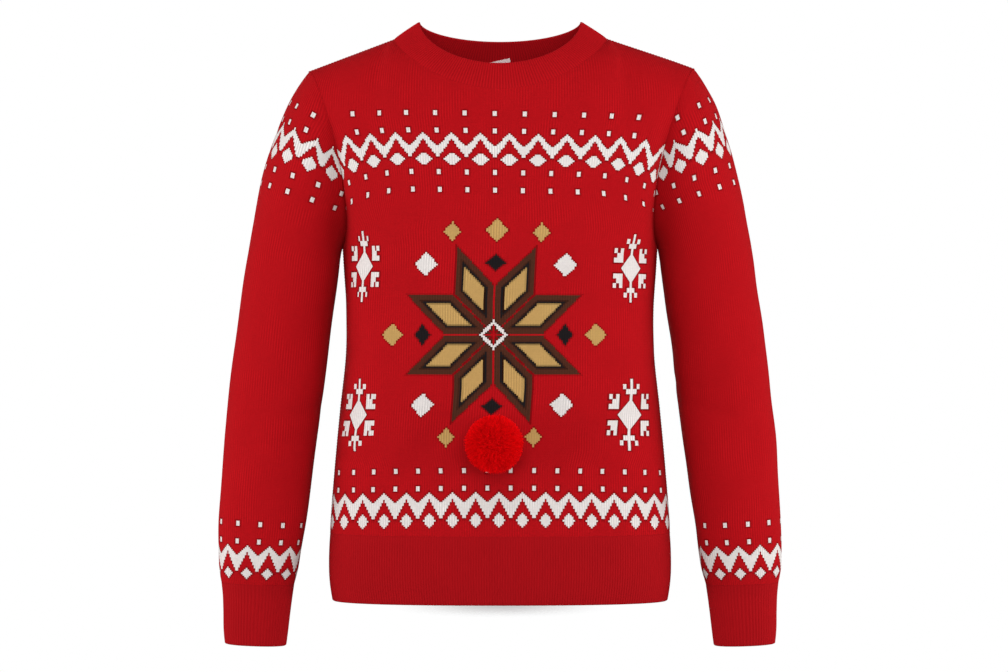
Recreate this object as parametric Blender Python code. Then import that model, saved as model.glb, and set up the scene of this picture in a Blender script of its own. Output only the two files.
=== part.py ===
"""A knitted crew-neck pullover, hollow as if worn: front, back, two sleeves, ribbed hem, cuffs and
collar, a pompom sewn to the front, and a blank neck label. Every cloth piece is a wall of its own.

Lengths here are in millimetres, and MM turns them into metres when a mesh is made. +X is the
wearer's left, -Y the front and +Z up. The origin is the middle of the neck, level with the two
points where the collar meets the shoulder seams.
"""

import math

import bmesh
import bpy
import numpy as np

MM = 0.001
FRONT, BACK = -1, 1
MIRROR = np.array([-1, 1, 1])

# Cloth.
KNIT_WALL = 2.0
RIB_WALL = 2.0
RIB_RISE = 0.8
SEAM_GAP = 0.3

# Levels, from the neck points down.
ARMPIT_Z = -225.0
HEM_SEAM_Z = -532.0
HEM_Z = -605.0
HEM_EDGE = 16.0
SIDE_Y = 3.0

# Half the section of the body at each level. square is the superellipse's power.
BODY = (
    # z, half_width, front, back, square
    (HEM_Z, 180.6, 69.0, 69.0, 2.5),
    (-588.0, 183.2, 71.0, 70.0, 2.5),
    (HEM_SEAM_Z, 183.4, 73.0, 70.0, 2.5),
    (-464.0, 178.7, 77.0, 70.0, 2.5),
    (-400.0, 172.8, 83.0, 70.0, 2.45),
    (-335.0, 166.2, 90.0, 73.0, 2.4),
    (-292.0, 165.8, 94.0, 77.0, 2.4),
    (-248.0, 168.6, 98.0, 82.0, 2.4),
    (ARMPIT_Z, 170.0, 99.0, 85.0, 2.4),
)

# Shoulder seam, from the collar to the top of the sleeve.
NECK_POINT = (115.0, 0.0, 0.0)
SHOULDER_TIP = (206.0, 3.0, -34.0)

# The neck seam and the collar's top edge are saddles: highest at the sides, lowest in front.
NECK_SEAM = {"half_width": 115.0, "front": 68.0, "back": 50.0, "power": 1.6}
NECK_SEAM |= {"side_z": 0.0, "front_z": -58.5, "back_z": -27.0}
NECK_TOP = {"half_width": 87.0, "front": 51.0, "back": 39.0, "power": 1.15}
NECK_TOP |= {"side_z": 19.4, "front_z": -29.5, "back_z": 2.0}
COLLAR_ROLL = 1.6

# Where a column of the body's upper part starts from the armpit level (rise) and how it arrives at the
# top edge (land). across is 0 at the middle and 1 at the side; each vector is a third of the way.
NECK_ACROSS = 7 / 12
BODY_COLUMNS = 24
NECK_FROM = round((1 - NECK_ACROSS) / 2 * BODY_COLUMNS)
NECK_TO = BODY_COLUMNS - NECK_FROM
UPPER = {
    FRONT: {
        "across": (0.0, NECK_ACROSS / 2, NECK_ACROSS, 1.0),
        "rise": ((0, 0, 57), (2, -1, 62), (8, -6, 68), (-20, -57, 45)),
        "land": ((0, 13, 52), (-8, 30, 44), (-24, 52, 20), (16, 61, 16)),
    },
    BACK: {
        "across": (0.0, NECK_ACROSS / 2, NECK_ACROSS, 1.0),
        "rise": ((0, 6, 66), (2, 6, 68), (8, 8, 72), (-18, 61, 45)),
        "land": ((0, -26, 56), (-10, -36, 41), (-24, -52, 18), (16, -65, 14)),
    },
}

# How widely the corners of the top edge are rounded in the cloth below it, as a share of across.
CORNER_EASE = 0.22

# The left shoulder sits a little higher and wider than the right.
HIGHER_SHOULDER = {"x": 200.0, "z": -45.0, "reach": 80.0, "out": 3.5, "up": 3.0}

# Outline of the sleeve from in front (inner, outer) and from the side (front, back).
SLEEVE = (
    # z, inner, outer, front, back
    (-652.0, 230.5, 296.0, -30.0, 17.0),
    (-637.0, 228.6, 297.4, -30.5, 18.0),
    (-615.0, 226.0, 297.8, -31.0, 19.0),
    (-594.0, 223.0, 298.8, -32.0, 20.0),
    (-586.0, 221.4, 300.0, -34.0, 22.0),
    (-572.0, 217.6, 302.4, -37.0, 26.0),
    (-551.0, 214.2, 303.2, -38.0, 28.0),
    (-486.0, 204.7, 301.3, -40.0, 34.0),
    (-400.0, 193.3, 294.3, -42.0, 41.0),
    (-313.0, 182.5, 284.6, -44.0, 47.0),
    (-248.0, 174.0, 274.3, -46.0, 51.0),
    (ARMPIT_Z, 171.6, 271.0, -46.0, 52.0),
)
SLEEVE_SQUARE = 2.15
SLEEVE_TOP_Z = -236.0
CUFF_SEAM_Z = -586.0
CUFF_Z = -652.0
CUFF_EDGE = 12.0
# How far each ring of the sleeve leans, outer side up, in degrees.
SLEEVE_LEAN = ((CUFF_Z, 2.0), (CUFF_SEAM_Z, 2.0), (-400.0, 7.0), (SLEEVE_TOP_Z, 14.0))
# The sleeve's cap leaves the armhole this way at the armpit, at the front and back, and at the tip.
CAP_LEAVES = {"armpit": (2.0, 0.0, -6.0), "middle": (26.0, 16.0, -16.0), "tip": (38.0, 0.0, -46.0)}
CAP_ARRIVES = {"armpit": 4.0, "tip": 58.0}

# Largest folds: troughs in the wall, the same on the left and the right. Each runs from one point to
# another, seen from the front.
FOLDS = (
    # panel, x0, z0, x1, z1, half_width, depth
    (FRONT, 150.0, -196.0, 116.0, -286.0, 26.0, 4.0),
    (FRONT, 166.0, -400.0, 110.0, -462.0, 24.0, 2.5),
    (BACK, 146.0, -196.0, 110.0, -280.0, 27.0, 4.0),
    (BACK, 30.0, -330.0, 150.0, -366.0, 24.0, 3.0),
)
FOLD_FADE = 0.1

# How much a wall at the armhole leans out of the armhole's middle.
ARMHOLE_OUT = 0.3

# How many faces each piece has.
LOWER_ROWS = 11
UPPER_ROWS = 10
CAP_ROWS = 7
ARM_ROWS = 11
HEM_RIBS = 120
CUFF_RIBS = 54
COLLAR_RIBS_A_COLUMN = 5
FACES_A_RIB = 2
RIBS_A_LINING_FACE = 2

# How finely curves are worked out before points are spaced along them.
SECTION_STEPS = 240
EASE_STEPS = 17

# Edges sharper than this many degrees are drawn sharp.
SHARP_ANGLE = 40.0

# Pompom, sewn to the front by its round backing. Its locks reach radius, or down to shortest of it, and
# none stands where the backing faces the cloth: where the way out runs back by more than bare of it.
POMPOM = {"x": -6.0, "z": -433.0, "radius": 32.5, "backing": 24.0, "bare": 0.5, "shortest": 0.9}

# Neck label, sewn in at the back. lift clears the corners of the cloth's faces, and rows is how many
# rows of the back it covers below the neck seam.
LABEL = {"x": -1.2, "half_width": 15.0, "rows": 2, "lift": 0.2, "wall": 1.0}


# ---------------------------------------------------------------- curves and grids


def unit(vectors):
    return vectors / np.maximum(np.linalg.norm(vectors, axis=-1, keepdims=True), 1e-9)


def smooth(x, stations, values):
    """A smooth curve through the values at the stations. Each value may be a vector."""
    stations, values = np.asarray(stations, float), np.asarray(values, float)
    slopes = np.gradient(values, stations, axis=0)
    x = np.asarray(x, float)
    i = np.clip(np.searchsorted(stations, x, side="right") - 1, 0, len(stations) - 2)
    step = stations[i + 1] - stations[i]
    t = (x - stations[i]) / step
    if values.ndim > 1:
        t, step = t[..., None], step[..., None]
    start = (1 + 2 * t) * (1 - t) ** 2 * values[i] + t * (1 - t) ** 2 * step * slopes[i]
    return start + t * t * (3 - 2 * t) * values[i + 1] + t * t * (t - 1) * step * slopes[i + 1]


def column_of(table, name, names, at):
    """One named column of a table, read at the levels at."""
    rows = np.array(table, float)
    return smooth(at, rows[:, 0], rows[:, names.index(name)])


def body_size(name, z):
    return column_of(BODY, name, ("z", "half_width", "front", "back", "square"), z)


def sleeve_size(name, z):
    return column_of(SLEEVE, name, ("z", "inner", "outer", "front", "back"), z)


def spaced(points, fractions):
    """The points at those fractions of the length of a line."""
    steps = np.linalg.norm(np.diff(points, axis=0), axis=1)
    along = np.concatenate([[0.0], np.cumsum(steps)])
    at = np.asarray(fractions) * along[-1]
    return np.stack([np.interp(at, along, points[:, k]) for k in range(3)], axis=1)


def bezier(start, leave, arrive, end, t):
    """Points at t of cubic curves from start to end. leave and arrive are a third of the end slopes."""
    one, two = start + leave, end - arrive
    return (1 - t) ** 3 * start + 3 * t * (1 - t) ** 2 * one + 3 * t * t * (1 - t) * two + t**3 * end


def eased(curve, across, width):
    """A curve over across, -1 to 1, averaged over a stretch of that half width. Its ends stay put."""
    total, weights = 0.0, 0.0
    for step in np.linspace(-2, 2, EASE_STEPS):
        at = across + step * width
        beyond = (np.abs(at) > 1)[:, None]
        end = np.sign(at)
        folded = np.where(np.abs(at) > 1, 2 * end - at, at)
        weight = math.exp(-step * step)
        total = total + weight * np.where(beyond, 2 * curve(end) - curve(folded), curve(folded))
        weights += weight
    return total / weights


def grid_normals(grid, closed, outward):
    """Unit normals of a grid of points, turned to the side that outward says."""
    up = np.gradient(grid, axis=0)
    if closed:
        side = (np.roll(grid, -1, axis=1) - np.roll(grid, 1, axis=1)) / 2
    else:
        side = np.gradient(grid, axis=1)
    normals = unit(np.cross(side, up))
    facing = (normals * outward).sum()
    return normals if facing > 0 else -normals


# ---------------------------------------------------------------- body


def half_section(z, side, fractions):
    """The front or back half of the body's section at height z, from -X to +X."""
    turn = np.linspace(0, math.pi, SECTION_STEPS + 1)
    power = 2 / body_size("square", z)
    depth = body_size("front" if side == FRONT else "back", z)
    x = -np.sign(np.cos(turn)) * np.abs(np.cos(turn)) ** power * body_size("half_width", z)
    y = SIDE_Y + side * depth * np.abs(np.sin(turn)) ** power
    return spaced(np.stack([x, y, np.full_like(x, z)], axis=1), fractions)


def saddle(sizes, turn):
    """A ring round the neck. turn is 0 at +X, a quarter at the front and three quarters at the back."""
    sine, cosine = np.sin(turn), np.cos(turn)
    front = sine >= 0
    depth = np.where(front, sizes["front"], sizes["back"])
    drop = np.where(front, sizes["front_z"], sizes["back_z"]) - sizes["side_z"]
    z = sizes["side_z"] + drop * np.abs(sine) ** sizes["power"]
    return np.stack([sizes["half_width"] * cosine, -depth * sine, z], axis=-1)


def top_edge(side, across):
    """The panel's top edge: neck seam in the middle, then shoulder seams. across runs from -1 to 1."""
    away = np.abs(across)
    turn = math.pi / 2 * (1 - np.minimum(away / NECK_ACROSS, 1))
    neck = saddle(NECK_SEAM, turn if side == FRONT else -turn)
    share = np.clip((away - NECK_ACROSS) / (1 - NECK_ACROSS), 0, 1)[:, None]
    shoulder = np.array(NECK_POINT) * (1 - share) + np.array(SHOULDER_TIP) * share
    edge = np.where(away[:, None] <= NECK_ACROSS, neck, shoulder)
    edge[:, 0] *= np.where(across < 0, -1, 1)
    return edge


def slope(side, name, across):
    made = smooth(np.abs(across), UPPER[side]["across"], UPPER[side][name])
    made[:, 0] *= np.where(across < 0, -1, 1)
    return made


def fold_depth(panel, x, z):
    """How far the largest folds push the cloth in, at points seen from the front."""
    depth = np.zeros_like(x)
    for side, x0, z0, x1, z1, half_width, deep in FOLDS:
        if side != panel:
            continue
        start, run = np.array([x0, z0]), np.array([x1 - x0, z1 - z0])
        reach_x, reach_z = np.abs(x) - start[0], z - start[1]
        along = np.clip((reach_x * run[0] + reach_z * run[1]) / (run @ run), 0, 1)
        away = np.hypot(reach_x - along * run[0], reach_z - along * run[1])
        depth += deep * np.exp(-((away / half_width) ** 2))
    return depth


def body_grid(side, columns, lower_rows, upper_rows):
    """Outer points of the front or back panel, row by row from the hem seam to the top edge."""
    across = np.linspace(-1, 1, columns + 1)
    levels = np.linspace(HEM_SEAM_Z, ARMPIT_Z, lower_rows + 1)
    lower = [half_section(z, side, (across + 1) / 2) for z in levels]
    upper = []
    for t in np.linspace(0, 1, upper_rows + 1)[1:]:
        width = CORNER_EASE * (1 - t) + 1e-6
        top = eased(lambda at: top_edge(side, at), across, width)
        land = eased(lambda at: slope(side, "land", at), across, width)
        upper.append(bezier(lower[-1], slope(side, "rise", across), land, top, t))
    grid = np.stack(lower + upper)
    height = np.linspace(0, 1, len(grid))[:, None]
    inside = np.minimum(1 - np.abs(across), np.minimum(height, 1 - height)) / FOLD_FADE
    depth = fold_depth(side, grid[..., 0], grid[..., 2]) * np.clip(inside, 0, 1)
    return grid - grid_normals(grid, False, np.array([0, side, 0])) * depth[..., None]


# ---------------------------------------------------------------- sleeve


def sleeve_ring(z, count):
    """One ring of the sleeve. It starts at the inner side and goes by the front to the outer side."""
    lean = math.radians(float(smooth(z, *zip(*SLEEVE_LEAN))))
    half = (sleeve_size("outer", z) - sleeve_size("inner", z)) / 2
    inner_z, outer_z = z - half * math.sin(lean), z + half * math.sin(lean)
    levels = [row[0] for row in SLEEVE]
    inner_x = sleeve_size("inner", max(inner_z, levels[0]))
    outer_x = sleeve_size("outer", min(outer_z, levels[-1]))
    middle = np.array([(inner_x + outer_x) / 2, 0, z])
    reach = np.array([(outer_x - inner_x) / 2, 0, (outer_z - inner_z) / 2])
    front, back = sleeve_size("front", z), sleeve_size("back", z)
    turn = np.linspace(0, 2 * math.pi, count, endpoint=False)
    power = 2 / SLEEVE_SQUARE
    inward = np.sign(np.cos(turn)) * np.abs(np.cos(turn)) ** power
    forward = np.sign(np.sin(turn)) * np.abs(np.sin(turn)) ** power
    ring = middle - inward[:, None] * reach
    ring[:, 1] = (front + back) / 2 + forward * (front - back) / 2
    return ring


def sleeve_grid(armhole, cap_rows, arm_rows):
    """Outer points of the sleeve, ring by ring from the cuff seam up to the armhole."""
    count = len(armhole)
    levels = np.linspace(CUFF_SEAM_Z, SLEEVE_TOP_Z, arm_rows + 1)
    arm = np.stack([sleeve_ring(z, count) for z in levels])
    turn = np.linspace(0, 2 * math.pi, count, endpoint=False)
    upward, bulge = (1 - np.cos(turn)) / 2, np.sin(turn)
    share, swing = upward[:, None], np.abs(bulge)[:, None]
    ends = np.array(CAP_LEAVES["armpit"]) * (1 - share) + np.array(CAP_LEAVES["tip"]) * share
    middle = np.array(CAP_LEAVES["middle"]) * np.stack(
        [np.ones(count), -np.sign(bulge), np.ones(count)], axis=1
    )
    leave = ends * (1 - swing) + middle * swing
    along = unit(arm[-2] - arm[-1])
    arrive = along * (CAP_ARRIVES["armpit"] * (1 - share) + CAP_ARRIVES["tip"] * share)
    steps = np.linspace(1, 0, cap_rows + 1)[1:]
    cap = [bezier(armhole, leave, arrive, arm[-1], t) for t in steps]
    return np.concatenate([arm, cap])


# ---------------------------------------------------------------- walls


def set_back(outer, inner, where, towards, closed=False):
    """Moves an edge of a wall half a seam gap back, to the side that towards points to."""
    edge = outer[where]
    run = np.roll(edge, -1, axis=0) - np.roll(edge, 1, axis=0) if closed else np.gradient(edge, axis=0)
    away = unit(np.cross(run, edge - inner[where]))
    away *= np.sign((away * np.array(towards, float)).sum(axis=-1, keepdims=True))
    outer[where] += away * SEAM_GAP / 2
    inner[where] += away * SEAM_GAP / 2


def fill_strip(fine, coarse, faces):
    """Triangles between two lines of points, the first with a whole multiple of the second's steps."""
    times = (len(fine) - 1) // (len(coarse) - 1)
    for i in range(len(coarse) - 1):
        start, middle, end = i * times, i * times + (times + 1) // 2, (i + 1) * times
        for k in range(start, end):
            faces.append((fine[k], fine[k + 1], coarse[i] if k < middle else coarse[i + 1]))
        faces.append((fine[middle], coarse[i + 1], coarse[i]))


def wall_mesh(name, outer, inner, closed):
    """A closed wall between two grids of points. The outer one may have more columns."""
    rows, fine = outer.shape[:2]
    coarse = inner.shape[1]
    points = np.concatenate([outer.reshape(-1, 3), inner.reshape(-1, 3)])
    faces = []

    def outside(r, c):
        return r * fine + c % fine

    def inside(r, c):
        return rows * fine + r * coarse + c % coarse

    for at, count in ((outside, fine), (inside, coarse)):
        for r in range(rows - 1):
            for c in range(count if closed else count - 1):
                faces.append((at(r, c), at(r, c + 1), at(r + 1, c + 1), at(r + 1, c)))
    for r in (0, rows - 1):
        one = [outside(r, c) for c in range(fine + 1 if closed else fine)]
        two = [inside(r, c) for c in range(coarse + 1 if closed else coarse)]
        fill_strip(one, two, faces)
    if not closed:
        for c, d in ((0, 0), (fine - 1, coarse - 1)):
            for r in range(rows - 1):
                faces.append((outside(r, c), outside(r + 1, c), inside(r + 1, d), inside(r, d)))
    return mesh_object(name, points, faces)


def settled(points):
    """The points once the left shoulder has been lifted."""
    x, z, reach = HIGHER_SHOULDER["x"], HIGHER_SHOULDER["z"], HIGHER_SHOULDER["reach"]
    away = ((points[:, 0] - x) ** 2 + (points[:, 2] - z) ** 2) / reach**2
    lift = np.array([HIGHER_SHOULDER["out"], 0, HIGHER_SHOULDER["up"]])
    return points + np.exp(-away)[:, None] * lift


def mesh_object(name, points, faces):
    mesh = bpy.data.meshes.new(name)
    mesh.from_pydata((settled(points) * MM).tolist(), [], faces)
    shape = bmesh.new()
    shape.from_mesh(mesh)
    bmesh.ops.recalc_face_normals(shape, faces=shape.faces)
    shape.to_mesh(mesh)
    shape.free()
    return show(name, mesh)


def show(name, mesh):
    mesh.shade_smooth()
    mesh.set_sharp_from_angle(angle=math.radians(SHARP_ANGLE))
    made = bpy.data.objects.new(name, mesh)
    bpy.context.scene.collection.objects.link(made)
    return made


def between(points, times):
    """A line of points with each step cut into that many."""
    count = len(points) - 1
    at = np.arange(count * times + 1) / times
    return np.stack([np.interp(at, np.arange(count + 1), points[:, k]) for k in range(3)], axis=1)


def ribbed_wall(name, grid, normals, closed):
    """A wall with every second column of outer points raised, over a plain lining."""
    lining = (grid - normals * RIB_WALL)[:, :: FACES_A_RIB * RIBS_A_LINING_FACE]
    raised = grid.copy()
    peaks = slice(1, grid.shape[1] - (not closed), FACES_A_RIB)
    raised[:, peaks] += normals[:, peaks] * RIB_RISE
    wall_mesh(name, raised, lining, closed)
    return lining


# ---------------------------------------------------------------- pieces


def share_seams(outer, normals, sleeve_normals):
    """Gives both sides of each seam one direction, so that their walls meet along one line."""
    last = BODY_COLUMNS
    sides = [(slice(0, LOWER_ROWS + 1), column) for column in (0, last)]
    shoulders = [(-1, slice(0, NECK_FROM + 1)), (-1, slice(NECK_TO, None))]
    for where in sides + shoulders:
        both = unit(normals[FRONT][where] + normals[BACK][where])
        normals[FRONT][where] = both
        normals[BACK][where] = both
    armhole = around_armhole(outer)
    out = unit((armhole - armhole.mean(axis=0)) * np.array([0, 1, 1]))
    shared = unit(around_armhole(normals) + sleeve_normals[-1] + ARMHOLE_OUT * out)
    sleeve_normals[-1] = shared
    rows = UPPER_ROWS + 1
    halves = {FRONT: shared[:rows], BACK: np.concatenate([shared[rows - 1 :], shared[:1]])[::-1]}
    for side, half in halves.items():
        normals[side][LOWER_ROWS:, last] = half
        normals[side][LOWER_ROWS:, 0] = half * MIRROR


def around_armhole(grids):
    """The left armhole's ring: up the front from the armpit, over the shoulder, and down the back."""
    front, back = (grids[side][LOWER_ROWS:, BODY_COLUMNS] for side in (FRONT, BACK))
    return np.concatenate([front, back[-2:0:-1]])


def make_panels(outer, normals, colour):
    """The front and the back. Gives the back's lining, which carries the label."""
    neck, last = slice(NECK_FROM, NECK_TO + 1), BODY_COLUMNS
    for side, name in ((FRONT, "front_panel"), (BACK, "back_panel")):
        cloth = outer[side].copy()
        lining = cloth - normals[side] * KNIT_WALL
        for column, inward in ((0, 1), (last, -1)):
            set_back(cloth, lining, (slice(0, LOWER_ROWS + 1), column), (0, side, 0))
            set_back(cloth, lining, (slice(LOWER_ROWS, None), column), (inward, 0, 0))
        for shoulder in (slice(0, NECK_FROM + 1), slice(NECK_TO, None)):
            set_back(cloth, lining, (-1, shoulder), (0, side, 0))
        set_back(cloth, lining, (-1, neck), (0, 0, -1))
        set_back(cloth, lining, (0, slice(None)), (0, 0, 1))
        paint(wall_mesh(name, cloth, lining, False), colour)
    return lining


def make_sleeves(grid, normals, colour):
    """Both sleeves, without their cuffs."""
    axis = sleeve_axis(grid[0], grid[1])
    normals[0] = across_axis(normals[0], axis)
    cloth, lining = grid.copy(), grid - normals * KNIT_WALL
    set_back(cloth, lining, -1, (1, 0, 0), closed=True)
    cloth[0] -= axis * SEAM_GAP / 2
    lining[0] -= axis * SEAM_GAP / 2
    for turn, name in ((np.ones(3), "sleeve_left"), (MIRROR, "sleeve_right")):
        paint(wall_mesh(name, cloth * turn, lining * turn, True), colour)


def sleeve_axis(ring, next_ring):
    """The direction out of the plane of a ring, towards the cuff if next_ring lies above it."""
    count = len(ring)
    across, deep = ring[count // 2] - ring[0], ring[count // 4] - ring[3 * count // 4]
    axis = unit(np.cross(across, deep))
    return axis if (ring.mean(axis=0) - next_ring.mean(axis=0)) @ axis > 0 else -axis


def across_axis(normals, axis):
    return unit(normals - (normals @ axis)[:, None] * axis)


def make_cuffs(colour):
    levels = (CUFF_Z, CUFF_Z + CUFF_EDGE, CUFF_SEAM_Z - CUFF_EDGE, CUFF_SEAM_Z)
    grid = np.stack([sleeve_ring(z, CUFF_RIBS * FACES_A_RIB) for z in levels])
    normals = grid_normals(grid, True, grid - grid.mean(axis=1, keepdims=True))
    axis = sleeve_axis(grid[-1], grid[-2])
    normals[-1] = across_axis(normals[-1], axis)
    grid[-1] -= axis * SEAM_GAP / 2
    for turn, name in ((np.ones(3), "cuff_left"), (MIRROR, "cuff_right")):
        ribbed_wall(name, grid * turn, normals * turn, True)
        paint(bpy.data.objects[name], colour)


def make_hem(colour):
    across = np.linspace(0, 1, HEM_RIBS * FACES_A_RIB + 1)
    for side, name in ((FRONT, "hem_rib_front"), (BACK, "hem_rib_back")):
        grid = np.stack([half_section(z, side, across) for z in (HEM_Z, HEM_Z + HEM_EDGE, HEM_SEAM_Z)])
        normals = grid_normals(grid, False, np.array([0, side, 0]))
        normals[:, 0], normals[:, -1] = (-1, 0, 0), (1, 0, 0)
        normals[[0, -1], :, 2] = 0
        grid[-1, :, 2] -= SEAM_GAP / 2
        grid[:, [0, -1], 1] += side * SEAM_GAP / 2
        ribbed_wall(name, grid, unit(normals), False)
        paint(bpy.data.objects[name], colour)


def make_collar(outer, normals, colour):
    """The collar, on the points of the neck seam. It turns the panels' walls there to meet its own."""
    neck, half = slice(NECK_FROM, NECK_TO + 1), NECK_TO - NECK_FROM
    base = np.concatenate([outer[FRONT][-1, neck][::-1], outer[BACK][-1, neck][1:]])
    top = saddle(NECK_TOP, np.linspace(0, 2 * math.pi, 2 * half + 1))
    out = unit(np.cross(np.roll(base[:-1], -1, axis=0) - np.roll(base[:-1], 1, axis=0), (top - base)[:-1]))
    out *= np.sign((out * (base[:-1] * [1, 1, 0] + [0, 0, NECK_SEAM["half_width"] / 2])).sum(axis=1))[:, None]
    out = np.concatenate([out, out[:1]])
    middle = (base + top) / 2 + out * COLLAR_ROLL
    panels = np.concatenate([normals[FRONT][-1, neck][::-1], normals[BACK][-1, neck][1:]])
    shared = unit(panels + out)
    normals[FRONT][-1, neck] = shared[: half + 1][::-1]
    normals[BACK][-1, neck] = shared[half:]
    times = COLLAR_RIBS_A_COLUMN * FACES_A_RIB
    grid = np.stack([between(row, times)[:-1] for row in (base, middle, top)])
    facing = unit(np.stack([between(row, times)[:-1] for row in (shared, out, out)]))
    set_back(grid, grid - facing * RIB_WALL, 0, (0, 0, 1), closed=True)
    lining = ribbed_wall("neck_rib", grid, facing, True)
    paint(bpy.data.objects["neck_rib"], colour)
    return lining


def front_y(x, z):
    """Depth of the front's outer face under a point seen from the front, below the armpits."""
    section = half_section(z, FRONT, np.linspace(0, 1, SECTION_STEPS + 1))
    return float(np.interp(x, section[:, 0], section[:, 1]))


def make_pompom(colour):
    """Locks of yarn that stand on a round backing, which is seated on the front."""
    backing = POMPOM["backing"]
    seat = front_y(POMPOM["x"], POMPOM["z"])
    centre = np.array([POMPOM["x"], seat - SEAM_GAP - backing, POMPOM["z"]])
    lengths = np.random.default_rng(4)
    ball = bmesh.new()
    bmesh.ops.create_icosphere(ball, subdivisions=3, radius=backing)
    for face in list(ball.faces):
        out = face.calc_center_median().normalized()
        if out.y > POMPOM["bare"]:
            continue
        tip = bmesh.ops.poke(ball, faces=[face])["verts"][0]
        tip.co = out * POMPOM["radius"] * lengths.uniform(POMPOM["shortest"], 1)
    points = np.array([vertex.co[:] for vertex in ball.verts]) + centre
    faces = [[vertex.index for vertex in face.verts] for face in ball.faces]
    ball.free()
    paint(mesh_object("pompom", points, faces), colour)


def make_label(lining, collar_lining, colour):
    """A blank tape that lies on the inside of the back, across the neck seam."""
    middle = BODY_COLUMNS // 2
    below = lining[-LABEL["rows"] - 1 : -1, middle - 1 : middle + 2]
    half_width = below[-1, 2, 0]
    back = collar_lining.shape[1] * 3 // 4
    step = round(half_width / np.linalg.norm(collar_lining[0, back + 1] - collar_lining[0, back]))
    above = collar_lining[:2, [back - step, back, back + step]]
    behind = np.concatenate([below, above])
    behind[..., 0] = LABEL["x"] + np.array([-1, 0, 1]) * LABEL["half_width"]
    behind[..., 1] -= SEAM_GAP + LABEL["lift"]
    face = behind - np.array([0, LABEL["wall"], 0])
    paint(wall_mesh("neck_label", face, behind, False), colour)


# ---------------------------------------------------------------- looks


def cloth_colour(name, red, green, blue, rough):
    made = bpy.data.materials.new(name)
    made.use_nodes = True
    shader = made.node_tree.nodes["Principled BSDF"]
    shader.inputs["Base Color"].default_value = (red, green, blue, 1)
    shader.inputs["Roughness"].default_value = rough
    shader.inputs["Metallic"].default_value = 0
    made.diffuse_color = (red, green, blue, 1)
    return made


def paint(piece, material):
    piece.data.materials.append(material)


def main():
    for old in list(bpy.data.objects):
        bpy.data.objects.remove(old)
    colours = {
        "knit": cloth_colour("red_knit", 0.50, 0.006, 0.011, 0.9),
        "rib": cloth_colour("red_rib", 0.38, 0.005, 0.009, 0.9),
        "pompom": cloth_colour("pompom_yarn", 0.60, 0.003, 0.006, 0.95),
        "label": cloth_colour("label_tape", 0.85, 0.72, 0.70, 0.8),
    }
    outer = {side: body_grid(side, BODY_COLUMNS, LOWER_ROWS, UPPER_ROWS) for side in (FRONT, BACK)}
    normals = {side: grid_normals(outer[side], False, np.array([0, side, 0])) for side in (FRONT, BACK)}
    for side in (FRONT, BACK):
        normals[side][0, :, 2] = 0
    sleeve = sleeve_grid(around_armhole(outer), CAP_ROWS, ARM_ROWS)
    sleeve_normals = grid_normals(sleeve, True, sleeve - sleeve.mean(axis=1, keepdims=True))
    share_seams(outer, normals, sleeve_normals)
    collar_lining = make_collar(outer, normals, colours["rib"])
    back_lining = make_panels(outer, normals, colours["knit"])
    make_sleeves(sleeve, sleeve_normals, colours["knit"])
    make_cuffs(colours["rib"])
    make_hem(colours["rib"])
    make_pompom(colours["pompom"])
    make_label(back_lining, collar_lining, colours["label"])


main()
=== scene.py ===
"""Looks of a knitted crew-neck pullover with a pompom, hollow as if worn: fine shells of cloth with
their folds, ribs, linking stitches, fur, and the patterned knit itself.

Lengths are in millimetres, and MM turns them into metres when a mesh is made. +X is the wearer's
left, -Y the front and +Z up. The origin is the middle of the neck, level with the shoulders' inner
ends.
"""

import math

import bmesh
import bpy
import numpy as np
from mathutils import Matrix, Vector


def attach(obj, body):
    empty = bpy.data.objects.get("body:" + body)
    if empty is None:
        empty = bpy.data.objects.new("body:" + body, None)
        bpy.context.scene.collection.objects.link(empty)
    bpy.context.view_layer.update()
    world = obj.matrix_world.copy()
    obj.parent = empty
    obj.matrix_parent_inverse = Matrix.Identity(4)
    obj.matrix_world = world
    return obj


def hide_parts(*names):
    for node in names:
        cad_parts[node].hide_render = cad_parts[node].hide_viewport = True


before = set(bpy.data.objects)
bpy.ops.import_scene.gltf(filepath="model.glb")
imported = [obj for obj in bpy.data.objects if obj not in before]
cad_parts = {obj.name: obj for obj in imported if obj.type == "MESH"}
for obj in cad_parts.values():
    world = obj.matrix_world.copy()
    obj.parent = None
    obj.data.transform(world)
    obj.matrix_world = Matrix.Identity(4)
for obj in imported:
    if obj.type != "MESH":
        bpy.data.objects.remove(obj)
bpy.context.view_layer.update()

MM = 0.001
FRONT, BACK = -1, 1
MIRROR = np.array([-1, 1, 1])

# ---------------------------------------------------------------- sizes of the garment

# Cloth.
KNIT_WALL = 2.0
RIB_WALL = 2.0
RIB_RISE = 0.38
# A rib's free edge is rounded: this far from it, each face is drawn in by that share of half the wall.
LIP = ((0.0, 0.85), (0.4, 0.32), (1.2, 0.06))
# The ribs fade into the seam: this row, and the share of the ribs' rise that it has.
SEAM_FADE = ((-3, 0.85), (-2, 0.45), (-1, 0.0))
SEAM_GAP = 0.12
# The cloth is drawn in a little at its seams.
SEAM_DIP = 0.12

# Levels, from the neck points down.
ARMPIT_Z = -225.0
HEM_SEAM_Z = -532.0
HEM_Z = -605.0
SIDE_Y = 3.0

# Half the section of the body at each level. square is the superellipse's power.
BODY = (
    # z, half_width, front, back, square
    (HEM_Z, 180.6, 69.0, 69.0, 2.5),
    (-588.0, 183.2, 71.0, 70.0, 2.5),
    (HEM_SEAM_Z, 183.4, 73.0, 70.0, 2.5),
    (-464.0, 178.7, 77.0, 70.0, 2.5),
    (-400.0, 172.8, 83.0, 70.0, 2.45),
    (-335.0, 166.2, 90.0, 73.0, 2.4),
    (-292.0, 165.8, 94.0, 77.0, 2.4),
    (-248.0, 168.6, 98.0, 82.0, 2.4),
    (ARMPIT_Z, 170.0, 99.0, 85.0, 2.4),
)

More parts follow.
